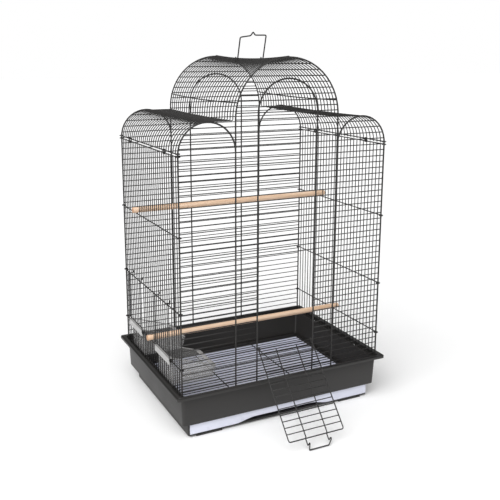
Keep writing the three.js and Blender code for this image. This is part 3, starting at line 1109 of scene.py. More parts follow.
@dataclass
class SidePanel:
    """The left or the right panel: upright wires, outer rails with end eyes and tongues."""

    shape: CageShape
    side: Side
    bays: tuple[tuple[float, float], ...] = ()
    tongue_offset: float = 0.09
    tongue_half_width: float = 0.005
    tongue_low: float = 0.083
    tongue_bend: float = 0.003
    top_tail: float = 0.0014
    eye_steps: int = 20

    @property
    def x(self) -> float:
        """The X of the upright wires."""
        return self.side.value * self.shape.half_width

    def in_bay(self, y: float) -> bool:
        """Says whether an upright at Y would stand in a feeder opening."""
        gap = self.shape.fine_wire
        return any(low + gap < y < high - gap for low, high in self.bays)

    def uprights(self, prefix: str) -> Piece:
        """Cuts the upright wires, which part at the feeder openings.

        Args:
            prefix: The panel's name.

        Returns:
            The uprights as one piece.
        """
        shape = self.shape
        low, mid = shape.rail_heights[0], shape.rail_heights[1]
        top = shape.rail_heights[-1] + self.top_tail
        last = shape.half_depth - shape.pitch
        places = steps_between(-last, last, shape.pitch)
        whole = along_y(y for y in places if not self.in_bay(y))
        parted = along_y(y for y in places if self.in_bay(y))
        wires = []
        for start, stop, moves in (
            (shape.bottom_rail, top, whole),
            (shape.bottom_rail, low, parted),
            (mid, top, parted),
        ):
            if moves:
                middle = (self.x, 0.0, (start + stop) / 2)
                wire = WireBench.straight(
                    f"{prefix}_wire", Axis.Z, middle, stop - start, shape.fine_wire
                )
                wires += Bench.copies(wire, moves)
        return Bench.join(f"{prefix}_uprights", wires)

    def rail_with_eyes(self, name: str, height: float) -> Piece:
        """Bends one outer rail, its ends turned round the corner posts.

        Args:
            name: Its name.
            height: Its height.

        Returns:
            The rail.
        """
        shape = self.shape
        outer = self.side.value * shape.rail_x
        turn = self.side.value
        reach = shape.half_depth - shape.eye_radius
        points = []
        for end in (-1, 1):
            eye = []
            for step in range(self.eye_steps):
                angle = 2 * math.pi * step / self.eye_steps
                eye.append(
                    (
                        self.x + turn * shape.eye_radius * math.cos(angle),
                        end * (shape.half_depth + shape.eye_radius * math.sin(angle)),
                        height,
                    )
                )
            points.append(eye if end > 0 else eye[::-1])
        line = points[0] + [(outer, -reach, height), (outer, reach, height)] + points[1]
        return WireBench.bent(name, line, shape.rail_wire)

    def rails(self, prefix: str) -> Piece:
        """Bends the outer rails, the bottom rail and the tongues.

        Args:
            prefix: The panel's name.

        Returns:
            The rails as one piece.
        """
        shape = self.shape
        last = shape.half_depth - shape.pitch
        wires = [
            self.rail_with_eyes(f"{prefix}_rail", height) for height in shape.rail_heights
        ]
        bottom = (self.x, 0.0, shape.bottom_rail)
        wires.append(
            WireBench.straight(f"{prefix}_foot", Axis.Y, bottom, 2 * last, shape.rail_wire)
        )
        for end in End:
            middle = end.value * self.tongue_offset
            near, far = middle - self.tongue_half_width, middle + self.tongue_half_width
            corners = [
                (self.x, near, shape.bottom_rail),
                (self.x, near, self.tongue_low),
                (self.x, far, self.tongue_low),
                (self.x, far, shape.bottom_rail),
            ]
            line = WireBench.rounded(corners, self.tongue_bend)
            wires.append(WireBench.bent(f"{prefix}_tongue", line, shape.fine_wire))
        return Bench.join(f"{prefix}_rails", wires)

    def build(self, finishes: Finishes) -> None:
        """Makes and dresses the panel.

        Args:
            finishes: The materials.
        """
        node = "left_side_panel" if self.side is Side.LEFT else "right_side_panel"
        dress(self.uprights(node), finishes, Slot.WIRE, "cage", node)
        dress(self.rails(node), finishes, Slot.WIRE, "cage", node)


@dataclass
class RoofPanel:
    """The hoops that run over both shoulders and the vault, and the rails on them."""

    shape: CageShape
    rail_rise: float = 0.030
    rail_stand_off: float = 0.0018
    rail_end_gap: float = 0.0019
    rail_steps: int = 28
    shoulder_step: float = 0.003
    hoop_tail: float = 0.0012

    def half_hoop(self) -> Profile:
        """Draws the right half of a hoop's outline.

        Returns:
            The points, from the eave rail up to the crest.
        """
        shape = self.shape
        foot = shape.roof_rail - shape.rail_wire / 2 - self.hoop_tail
        start = math.degrees(math.asin((foot - shape.eave) / shape.shoulder_radius))
        centre = (shape.half_width - shape.shoulder_radius, shape.eave)
        steps = shape.shoulder_steps // 2
        profile = WireBench.arc(centre, shape.shoulder_radius, start, 90.0, steps)
        top = shape.eave + shape.shoulder_radius
        profile.append((shape.vault_radius + self.shoulder_step / 2, top))
        profile.append((shape.vault_radius, top + self.shoulder_step / 2))
        vault = WireBench.arc(
            (0.0, shape.vault_spring), shape.vault_radius, 0.0, 90.0, shape.vault_steps // 2
        )
        return profile + vault

    def hoops(self) -> Piece:
        """Bends one hoop and sets copies of it along the cage.

        Returns:
            The hoops as one piece.
        """
        shape = self.shape
        right = self.half_hoop()
        left = [(-x, z) for x, z in reversed(right[:-1])]
        line = [(x, 0.0, z) for x, z in right + left]
        hoop = WireBench.bent("roof_hoop", line, shape.fine_wire)
        last = shape.half_depth - shape.pitch
        places = steps_between(-last, last, shape.pitch)
        return self.hang(Bench.join("roof_hoops", Bench.copies(hoop, along_y(places))))

    def hang(self, piece: Piece) -> Piece:
        """Lets a piece's wires down by the roof's sag.

        Args:
            piece: The piece, built without the sag.

        Returns:
            The same piece.
        """
        for point in piece.data.vertices:
            point.co.z -= self.shape.sag_at(point.co.y, max(point.co.z, self.shape.roof_rail))
        return piece

    def rails(self) -> Piece:
        """Cuts the crest rail and the spring rails, and bends the eave rails.

        Returns:
            The rails as one piece.
        """
        shape = self.shape
        radius = shape.vault_radius + self.rail_stand_off
        reach = math.sqrt(radius**2 - self.rail_rise**2)
        spring = shape.vault_spring + self.rail_rise
        end = shape.half_depth - self.rail_end_gap
        places = [end * (2 * step / self.rail_steps - 1) for step in range(self.rail_steps + 1)]
        wires = []
        for x, z in (
            (0.0, shape.vault_spring + radius),
            (-reach, spring),
            (reach, spring),
        ):
            line = [(x, y, z) for y in places]
            wires.append(self.hang(WireBench.bent("roof_rail", line, shape.rail_wire)))
        for side in Side:
            panel = SidePanel(shape, side)
            wires.append(panel.rail_with_eyes("roof_eave_rail", shape.roof_rail))
        return Bench.join("roof_rails", wires)

    def build(self, finishes: Finishes) -> None:
        """Makes and dresses the roof in those finishes."""
        dress(self.hoops(), finishes, Slot.WIRE, "cage", "roof_panel")
        dress(self.rails(), finishes, Slot.WIRE, "cage", "roof_panel")


@dataclass
class EaveClip:
    """A strip bent round the side panel's top rail and the roof's eave rail."""

    shape: CageShape
    side: Side
    end: End
    offset: float = 0.102
    length: float = 0.005
    wall: float = 0.001
    hole: float = 0.0015
    steps: int = 24
    edge: float = 0.0003
    edge_degrees: float = 50.0

    def build(self, finishes: Finishes) -> None:
        """Makes and dresses the clip.

        Args:
            finishes: The materials.
        """
        shape = self.shape
        low, high = shape.rail_heights[-1], shape.roof_rail
        x, y = self.side.value * shape.rail_x, self.end.value * self.offset
        side = "left" if self.side is Side.LEFT else "right"
        end = "front" if self.end is End.FRONT else "back"
        node = f"{side}_eave_clip_{end}"
        Bench.clear()
        bpy.ops.mesh.primitive_cylinder_add(
            vertices=self.steps,
            radius=self.hole,
            depth=self.length,
            end_fill_type="NOTHING",
            location=(x, y, high),
            rotation=Axis.Y.value,
        )
        strip = Bench.added(f"{node}_strip")
        Bench.settle(strip)
        Bench.edit_points(strip, lambda point: point.z < high)
        bpy.ops.transform.translate(value=(0.0, 0.0, low - high))
        Bench.finish_edit()
        Bench.modify(strip, "SOLIDIFY", {"thickness": self.wall, "offset": 1.0})
        Bench.soften(strip, self.edge, self.edge_degrees)
        Bench.smooth(strip)
        dress(strip, finishes, Slot.WIRE, "cage", node)


# Moving wire pieces


@dataclass
class FrontDoor:
    """The drop-down door with its hinge eyes and its latch loop, modelled shut."""

    shape: CageShape
    half_width: float = 0.0612
    inner_offset: float = 0.0235
    length: float = 0.1895
    wire: float = 0.0024
    cross_pitch: float = 0.0125
    bottom_bar: float = 0.0054
    corner: float = 0.004
    eye_radius: float = 0.0030
    eye_steps: int = 18
    eye_turn: float = 0.0026
    stem_top: float = 0.2028
    stand_off: float = 0.0032
    notch_depth: float = 0.0042
    notch_width: float = 0.006
    loop_top: float = 0.2115
    loop_corner: float = 0.0095
    loop_bend: float = 0.0016
    cross_stand_off: float = 0.0019
    open_degrees: float = 137.5

    def eye(self, side: float) -> list[Point]:
        """Gives the points of one eye, curled once round the hinge wire.

        Args:
            side: The sign of X.

        Returns:
            The points, from the free end to the upright wire.
        """
        return [
            (
                side * (self.half_width - self.eye_turn * (1 - share)),
                self.eye_radius * math.sin(angle),
                self.eye_radius * math.cos(angle),
            )
            for share, angle in one_turn(self.eye_steps)
        ]

    def frame_wire(self) -> Piece:
        """Bends the outer wire: up from one eye, over the top and down to the other.

        Returns:
            The wire.
        """
        corners = [
            (-self.half_width, 0.0, self.bottom_bar),
            (-self.half_width, 0.0, self.length),
            (self.half_width, 0.0, self.length),
            (self.half_width, 0.0, self.bottom_bar),
        ]
        line = self.eye(-1.0) + WireBench.rounded(corners, self.corner) + self.eye(1.0)[::-1]
        return WireBench.bent("front_door_outline", line, self.wire)

    def latch_wire(self) -> Piece:
        """Bends the inner wire: up, out over the top and round through both notches.

        Returns:
            The wire.
        """
        half, out = self.inner_offset, -self.stand_off
        notch_low = self.stem_top - self.notch_depth
        corners = [
            (half, 0.0, self.bottom_bar),
            (half, 0.0, self.length - self.wire),
            (half, out, self.length),
            (half, out, self.stem_top),
            (half + self.notch_width, out, notch_low),
            (half + self.notch_width, out, self.loop_top - self.loop_corner),
            (half + self.notch_width - self.loop_corner, out, self.loop_top),
            (-half, out, self.loop_top),
            (-half + self.notch_width, out, notch_low),
            (-half, out, self.stem_top),
            (-half, out, self.length),
            (-half, 0.0, self.length - self.wire),
            (-half, 0.0, self.bottom_bar),
        ]
        line = WireBench.rounded(corners, self.loop_bend)
        return WireBench.bent("front_door_latch", line, self.wire)

    def cross_wires(self) -> list[Piece]:
        """Cuts the bottom bar and the cross wires.

        Returns:
            The bar and the wires.
        """
        shape = self.shape
        bar = WireBench.straight(
            "front_door_bar",
            Axis.X,
            (0.0, 0.0, self.bottom_bar),
            2 * self.half_width,
            self.wire,
        )
        middle = (0.0, self.cross_stand_off, 0.0)
        wire = WireBench.straight(
            "front_door_cross", Axis.X, middle, 2 * self.half_width, shape.fine_wire
        )
        heights = steps_between(self.cross_pitch, self.length - self.cross_pitch, self.cross_pitch)
        moves = [Matrix.Translation((0.0, 0.0, height)) for height in heights]
        return [bar] + Bench.copies(wire, moves)

    def build(self, finishes: Finishes) -> None:
        """Makes and dresses the door, opened as at rest.

        Args:
            finishes: The materials.
        """
        wires = [self.frame_wire(), self.latch_wire()] + self.cross_wires()
        door = Bench.join("front_door_wires", wires)
        hinge = (0.0, -self.shape.half_depth, self.shape.sill)
        door.data.transform(hinged(hinge, self.open_degrees))
        dress(door, finishes, Slot.WIRE, "front_door", "front_door")


@dataclass
class CarryHandle:
    """The wire loop on the crest, with a pointed top and a hook round the middle hoop."""

    shape: CageShape
    half_width: float = 0.029
    wire: float = 0.0028
    edge_parts: int = 6
    edge_degrees: float = 60.0
    bend_steps: int = 6
    left_height: float = 0.0511
    right_height: float = 0.0561
    peak_start: float = -0.0057
    peak_start_height: float = 0.0546
    peak: float = -0.0015
    peak_height: float = 0.0626
    peak_end: float = 0.0035
    peak_end_height: float = 0.0557
    hook_half_width: float = 0.0044
    hook_depth: float = 0.0039
    hook_tail: float = 0.008
    tail_lean: float = 0.0006
    bend: float = 0.0032
    lean_degrees: float = 16.0

    def foot(self, side: float, height: float) -> list[Point]:
        """Gives the corners of one leg, from its tail to its top.

        Args:
            side: The sign of X.
            height: The height of the leg's top.

        Returns:
            The corners.
        """
        x = side * self.half_width
        near, far = -self.hook_half_width, self.hook_half_width
        return [
            (x, far + self.tail_lean, self.hook_tail),
            (x, far, -self.hook_depth),
            (x, near, -self.hook_depth),
            (x, near, height),
        ]

    def build(self, finishes: Finishes) -> None:
        """Makes and dresses the handle, leaning as at rest.

        Args:
            finishes: The materials.
        """
        near = -self.hook_half_width
        corners = self.foot(-1.0, self.left_height)
        corners += [
            (self.peak_start, near, self.peak_start_height),
            (self.peak, near, self.peak_height),
            (self.peak_end, near, self.peak_end_height),
        ]
        corners += self.foot(1.0, self.right_height)[::-1]
        line = WireBench.rounded(corners, self.bend, self.bend_steps)
        handle = WireBench.bent("carry_handle_wire", line, self.wire)
        Bench.soften(handle, self.wire / self.edge_parts, self.edge_degrees)
        Bench.smooth(handle)
        rise = math.sqrt(self.shape.vault_radius**2 - self.half_width**2)
        height = self.shape.vault_spring + rise
        hinge = (0.0, 0.0, height - self.shape.sag_at(0.0, height))
        handle.data.transform(hinged(hinge, self.lean_degrees))
        dress(handle, finishes, Slot.WIRE, "carry_handle", "carry_handle")


@dataclass
class Perch:
    """A wooden dowel with a slot in each end, which straddles a side wire."""

    node: str
    y: float
    height: float
    radius: float = 0.006
    half_length: float = 0.236
    slot_width: float = 0.003
    slot_bottom: float = 0.2235
    sides: int = 32
    end_bevel: float = 0.0009
    bevel_steps: int = 3
    smooth_degrees: float = 40.0
    side_corners: int = 4
    overrun: float = 0.002

    def build(self, finishes: Finishes) -> None:
        """Makes and dresses the perch.

        Args:
            finishes: The materials.
        """
        Bench.clear()
        bpy.ops.mesh.primitive_cylinder_add(
            vertices=self.sides,
            radius=self.radius,
            depth=2 * self.half_length,
            location=(0.0, self.y, self.height),
            rotation=Axis.X.value,
        )
        dowel = Bench.added(f"{self.node}_dowel")
        Bench.settle(dowel)
        Bench.edit_faces(dowel, lambda face: len(face.vertices) > self.side_corners)
        bpy.ops.mesh.bevel(offset=self.end_bevel, segments=self.bevel_steps, affect="EDGES")
        Bench.finish_edit()
        for side in Side:
            reach = sorted(
                (side.value * self.slot_bottom, side.value * (self.half_length + self.overrun))
            )
            half_slot = self.slot_width / 2
            tall = self.radius + self.overrun
            low = (reach[0], self.y - half_slot, self.height - tall)
            high = (reach[1], self.y + half_slot, self.height + tall)
            Bench.cut(dowel, Bench.box(f"{self.node}_slot", low, high))
        Bench.smooth(dowel, self.smooth_degrees)
        dress(dowel, finishes, Slot.WOOD, "cage", self.node)


# Feeders


@dataclass
class FeederCup:
    """A clear cup inside the left side wires, with its lip turned over the low rail."""

    node: str
    y: float
    half_width: float = 0.042
    back: float = -0.2235
    reach: float = 0.094
    taper: float = 0.008
    low: float = 0.0931
    top: float = 0.1508
    rim_drop: float = 0.0318
    wall: float = 0.0016
    bead: float = 0.0024
    flange: float = 0.008
    lip_half_width: float = 0.043
    lip_outer: float = -0.2301
    lip_drop: float = 0.0127
    edge: float = 0.0005
    edge_degrees: float = 30.0

    def build(self, finishes: Finishes) -> None:
        """Makes and dresses the cup.

        Args:
            finishes: The materials.
        """
        near, far = self.y - self.half_width, self.y + self.half_width
        low, high = (self.back, near, self.low), (self.back + self.reach, far, self.top)
        cup = Bench.box(f"{self.node}_shell", low, high)
        middle = self.back + self.reach / 2
        Bench.edit_points(cup, lambda point: point.x > middle and point.z < self.top - self.wall)
        bpy.ops.transform.translate(value=(-self.taper, 0.0, 0.0))
        Bench.finish_edit()
        Bench.edit_points(cup, lambda point: point.x > middle and point.z > self.top - self.wall)
        bpy.ops.transform.translate(value=(0.0, 0.0, -self.rim_drop))
        Bench.finish_edit()
        Bench.edit_faces(cup, Bench.looks_up)
        bpy.ops.mesh.inset(thickness=self.wall)
        Bench.extrude((0.0, 0.0, 0.0))
        narrowing = 1 - self.taper / (self.reach - 2 * self.wall)
        bpy.ops.transform.resize(
            value=(narrowing, 1.0, 0.0),
            center_override=(self.back + self.wall, self.y, self.low + self.wall),
        )
        Bench.finish_edit()
        Bench.soften(cup, self.edge, self.edge_degrees)
        Bench.smooth(cup)
        dress(cup, finishes, Slot.CLEAR, "cage", self.node)
        rim = Bench.join(f"{self.node}_rim", [self.bead_wire()] + self.lip_and_flange())
        dress(rim, finishes, Slot.CLEAR, "cage", self.node, finish=finishes.clear_rim)

    def bead_wire(self) -> Piece:
        """Bends the bead that stiffens the rim on its three free sides.

        Returns:
            The bead.
        """
        inset = self.wall / 2
        back, front = self.back + self.bead / 2, self.back + self.reach - inset
        near, far = self.y - self.half_width + inset, self.y + self.half_width - inset
        rim = self.top - self.rim_drop
        corners = [
            (back, near, self.top),
            (front, near, rim),
            (front, far, rim),
            (back, far, self.top),
        ]
        line = WireBench.rounded(corners, self.bead)
        return WireBench.bent(f"{self.node}_bead", line, self.bead)

    def lip_and_flange(self) -> list[Piece]:
        """Makes the lip, out over the rail and down, and the flat flange on the inner end.

        Returns:
            The lip and the flange.
        """
        near, far = self.y - self.lip_half_width, self.y + self.lip_half_width
        lip = Bench.box(
            f"{self.node}_lip",
            (self.lip_outer, near, self.top - self.wall),
            (self.back + self.wall / 2, far, self.top),
        )
        drop = Bench.box(
            f"{self.node}_drop",
            (self.lip_outer, near, self.top - self.lip_drop),
            (self.lip_outer + self.wall, far, self.top),
        )
        Bench.combine(lip, drop, "UNION")
        front, level = self.back + self.reach, self.top - self.rim_drop
        flange = Bench.box(
            f"{self.node}_flange",
            (front - self.flange, self.y - self.half_width, level - self.wall),
            (front, self.y + self.half_width, level),
        )
        for part in (lip, flange):
            Bench.soften(part, self.edge, self.edge_degrees)
            Bench.smooth(part)
        return [lip, flange]


@dataclass
class FeederDoor:
    """A feeder's outer door: a wire frame hinged on the low rail, with two fingers on top."""

    shape: CageShape
    node: str
    y: float
    half_width: float = 0.0445
    plane: float = -0.22995
    bottom_bar: float = 0.158
    finger_bar: float = 0.2615
    finger_offset: float = 0.030
    finger_reach: float = -0.2212
    finger_tip_rise: float = 0.005
    finger_bend: float = 0.0012
    inner_reach: float = 0.036
    eye_steps: int = 18
    eye_turn: float = 0.0022
    eye_radius: float = 0.0031
    corner: float = 0.003

    def eye(self, side: float) -> list[Point]:
        """Gives the points of one eye, curled once round the low rail.

        Args:
            side: The sign of Y, from the door's middle.

        Returns:
            The points, from the free end to the upright wire.
        """
        rail_x, rail_z = -self.shape.rail_x, self.shape.rail_heights[0]
        return [
            (
                rail_x - self.eye_radius * math.cos(angle),
                self.y + side * (self.half_width - self.eye_turn * (1 - share)),
                rail_z + self.eye_radius * math.sin(angle),
            )
            for share, angle in one_turn(self.eye_steps)
        ]

    def build(self, finishes: Finishes) -> None:
        """Makes and dresses the door.

        Args:
            finishes: The materials.
        """
        wire = self.shape.fine_wire
        corners = [
            (self.plane, self.y - self.half_width, self.bottom_bar),
            (self.plane, self.y - self.half_width, self.finger_bar),
            (self.plane, self.y + self.half_width, self.finger_bar),
            (self.plane, self.y + self.half_width, self.bottom_bar),
        ]
        line = self.eye(-1.0) + WireBench.rounded(corners, self.corner) + self.eye(1.0)[::-1]
        wires = [WireBench.bent(f"{self.node}_outline", line, wire)]
        bar = (self.plane, self.y, self.bottom_bar)
        wires.append(
            WireBench.straight(f"{self.node}_bar", Axis.Y, bar, 2 * self.half_width, wire)
        )
        middle = (self.bottom_bar + self.finger_bar) / 2
        length = self.finger_bar - self.bottom_bar
        for offset in steps_between(-self.inner_reach, self.inner_reach, self.shape.pitch):
            place = (self.plane, self.y + offset, middle)
            wires.append(WireBench.straight(f"{self.node}_wire", Axis.Z, place, length, wire))
        for side in (-1, 1):
            y = self.y + side * self.finger_offset
            tip = [
                (self.plane, y, self.finger_bar),
                (self.finger_reach, y, self.finger_bar),
                (self.finger_reach, y, self.finger_bar + self.finger_tip_rise),
            ]
            line = WireBench.rounded(tip, self.finger_bend)
            wires.append(WireBench.bent(f"{self.node}_finger", line, wire))
        door = Bench.join(f"{self.node}_wires", wires)
        dress(door, finishes, Slot.WIRE, self.node, self.node)


# Plastic base


@dataclass
class BaseTray:
    """The dark tub: rim, ledge, inner and outer wall, open shelf, skirt and feet."""

    half_x: float = 0.24045
    half_y: float = 0.1835
    rim_top: float = 0.096
    rim_drop: float = 0.005
    rim_width: float = 0.0105
    rim_lip: float = 0.002
    rim_corner: float = 0.006
    corner_steps: int = 5
    ledge_drop: float = 0.006
    ledge_width: float = 0.011
    wall: float = 0.003
    taper: float = 0.0025
    shelf_top: float = 0.033
    shelf_inner_x: float = 0.208
    shelf_inner_front: float = -0.1585
    shelf_inner_back: float = 0.146
    skirt_x: float = 0.211
    skirt_front: float = -0.1625
    skirt_back: float = 0.149
    skirt_top: float = 0.0315
    skirt_corner: float = 0.006
    floor_low: float = 0.0036
    floor_top: float = 0.0056
    sill_top: float = 0.007
    slot_top: float = 0.030
    slot_inset: float = 0.003
    foot_inner: float = 0.138
    foot_outer: float = 0.194
    foot_length: float = 0.024
    apron_top: tuple[float, float] = (0.2262, 0.1708)
    apron_low: tuple[float, float] = (0.2238, 0.1686)
    apron_hollow: tuple[float, float] = (0.2205, 0.1635)
    apron_corner: float = 0.008
    slot_half_length: float = 0.010
    slot_half_width: float = 0.0028
    ledge_slot_y: float = 0.09
    wire_x: float = 0.225
    edge: float = 0.0007
    edge_degrees: float = 35.0
    overrun: float = 0.004

    def tub(self) -> Piece:
        """Draws the tub from one rounded sheet: inset, pushed down and given its thickness.

        Returns:
            The tub.
        """
        Bench.clear()
        bpy.ops.mesh.primitive_plane_add(size=1, location=(0.0, 0.0, self.rim_top))
        tub = Bench.added("base_tray_tub")
        tub.scale = (2 * self.half_x, 2 * self.half_y, 1.0)
        Bench.settle(tub)
        Bench.edit_points(tub, lambda point: True)
        bpy.ops.mesh.bevel(offset=self.rim_corner, segments=self.corner_steps, affect="VERTICES")
        Bench.finish_edit()
        Bench.edit_faces(tub, lambda face: True)
        bpy.ops.mesh.inset(thickness=self.rim_lip)
        ledge = self.rim_top - self.ledge_drop
        lip = (self.half_x - self.rim_lip, self.half_y - self.rim_lip)
        inner_x, inner_y = self.half_x - self.rim_width, self.half_y - self.rim_width
        self.step_in(lip, (inner_x, inner_y), (self.rim_top, self.rim_top))
        self.step_in((inner_x, inner_y), (inner_x, inner_y), (self.rim_top, ledge))
        ledge_x, ledge_y = inner_x - self.ledge_width, inner_y - self.ledge_width
        self.step_in((inner_x, inner_y), (ledge_x, ledge_y), (ledge, ledge))
        foot_x, foot_y = ledge_x - self.taper, ledge_y - self.taper
        self.step_in((ledge_x, ledge_y), (foot_x, foot_y), (ledge, self.shelf_top))
        shelf_depth = (self.shelf_inner_back - self.shelf_inner_front) / 2
        shelf_y = (self.shelf_inner_back + self.shelf_inner_front) / 2
        shelf = (self.shelf_inner_x, shelf_depth)
        self.step_in((foot_x, foot_y), shelf, (self.shelf_top, self.shelf_top))
        bpy.ops.transform.translate(value=(0.0, shelf_y, 0.0))
        bpy.ops.mesh.delete(type="FACE")
        Bench.finish_edit()
        self.turn_rim(tub)
        Bench.modify(tub, "SOLIDIFY", {"thickness": self.wall, "offset": -1.0})
        return tub

    @staticmethod
    def step_in(
        now: tuple[float, float], goal: tuple[float, float], levels: tuple[float, float]
    ) -> None:
        """Draws the selected faces to a new level and brings their outline in.

        Args:
            now: Half the outline's width and depth.
            goal: The same afterwards.
            levels: The height now and afterwards.
        """
        Bench.extrude((0.0, 0.0, levels[1] - levels[0]))
        share = (goal[0] / now[0], goal[1] / now[1], 1.0)
        bpy.ops.transform.resize(value=share, center_override=(0.0, 0.0, levels[1]))

    def turn_rim(self, tub: Piece) -> None:
        """Draws the edges in the rim's outer half down.

        The inset line lies in that half too, so that sheets come down inside the rim as well.

        Args:
            tub: The tub's sheet.
        """
        inner_x = self.half_x - self.rim_width / 2
        inner_y = self.half_y - self.rim_width / 2

        def is_outer(first: Vector, second: Vector) -> bool:
            """Says whether both ends lie in the rim's outer half."""
            ends = (first, second)
            return all(abs(point.x) > inner_x or abs(point.y) > inner_y for point in ends)

        Bench.edit_edges(tub, is_outer)
        bpy.ops.mesh.extrude_edges_move(
            TRANSFORM_OT_translate={"value": (0.0, 0.0, -self.rim_drop)}
        )
        Bench.finish_edit()

    def skirt(self) -> Piece:
        """Makes the drawer's housing under the shelf, with the slot in front.

        Returns:
            The skirt.
        """
        low = (-self.skirt_x, self.skirt_front, self.floor_low)
        high = (self.skirt_x, self.skirt_back, self.skirt_top)
        skirt = Bench.box("base_tray_skirt", low, high)
        self.round_uprights(skirt, self.skirt_corner)
        inner_x = self.skirt_x - self.slot_inset
        front, back = self.skirt_front + self.slot_inset, self.skirt_back - self.slot_inset
        far = self.overrun
        hollow = Bench.box(
            "base_tray_hollow",
            (-inner_x, front, self.floor_top),
            (inner_x, back, self.skirt_top + far),
        )
        Bench.cut(skirt, hollow)
        slot = Bench.box(
            "base_tray_slot",
            (-inner_x, self.skirt_front - far, self.sill_top),
            (inner_x, front + far, self.slot_top),
        )
        Bench.cut(skirt, slot)
        return skirt

    def round_uprights(self, block: Piece, radius: float) -> None:
        """Rounds the four upright edges of a block.

        Args:
            block: The block.
            radius: The edges' radius.
        """

        def is_upright(first: Vector, second: Vector) -> bool:
            """Says whether an edge rises more than it runs."""
            rise = abs(first.z - second.z)
            return rise > abs(first.x - second.x) and rise > abs(first.y - second.y)

        Bench.edit_edges(block, is_upright)
        bpy.ops.mesh.bevel(offset=radius, segments=self.corner_steps, affect="EDGES")
        Bench.finish_edit()

    def apron(self) -> Piece:
        """Makes the tapered outer wall under the rim.

        Returns:
            The outer wall.
        """
        low, high = self.shelf_top - self.wall, self.rim_top - self.ledge_drop - self.wall / 2
        top_x, top_y = self.apron_top
        apron = Bench.box("base_tray_apron", (-top_x, -top_y, low), (top_x, top_y, high))
        middle = (low + high) / 2
        Bench.edit_points(apron, lambda point: point.z < middle)
        share = (self.apron_low[0] / top_x, self.apron_low[1] / top_y, 1.0)
        bpy.ops.transform.resize(value=share, center_override=(0.0, 0.0, low))
        Bench.finish_edit()
        self.round_uprights(apron, self.apron_corner)
        inner_x, inner_y = self.apron_hollow
        far = self.overrun
        hollow = Bench.box(
            "base_tray_apron_hollow",
            (-inner_x, -inner_y, low - far),
            (inner_x, inner_y, high + far),
        )
        Bench.cut(apron, hollow)
        return apron

    def feet(self) -> list[Piece]:
        """Makes the low feet near the four corners of the underside.

        Returns:
            The feet.
        """
        feet = []
        for side in Side:
            xs = sorted((side.value * self.foot_inner, side.value * self.foot_outer))
            for edge, run in (
                (self.skirt_front, self.foot_length),
                (self.skirt_back, -self.foot_length),
            ):
                ys = sorted((edge, edge + run))
                low, high = (xs[0], ys[0], 0.0), (xs[1], ys[1], self.floor_top)
                feet.append(Bench.box("base_tray_foot", low, high))
        return feet

    def build(self, finishes: Finishes) -> None:
        """Makes and dresses the base.

        Args:
            finishes: The materials.
        """
        tub = self.tub()
        ledge = self.rim_top - self.ledge_drop
        for side in Side:
            for end in End:
                x, y = side.value * self.wire_x, end.value * self.ledge_slot_y
                slot = Bench.box(
                    "base_tray_ledge_slot",
                    (x - self.slot_half_width, y - self.slot_half_length, ledge - self.wall * 2),
                    (x + self.slot_half_width, y + self.slot_half_length, ledge + self.wall),
                )
                Bench.cut(tub, slot)
        parts = [tub, self.apron(), self.skirt()] + self.feet()
        for part in parts:
            Bench.soften(part, self.edge, self.edge_degrees)
            Bench.smooth(part)
        tray = Bench.join("base_tray_moulding", parts)
        dress(tray, finishes, Slot.BASE, "cage", "base_tray")


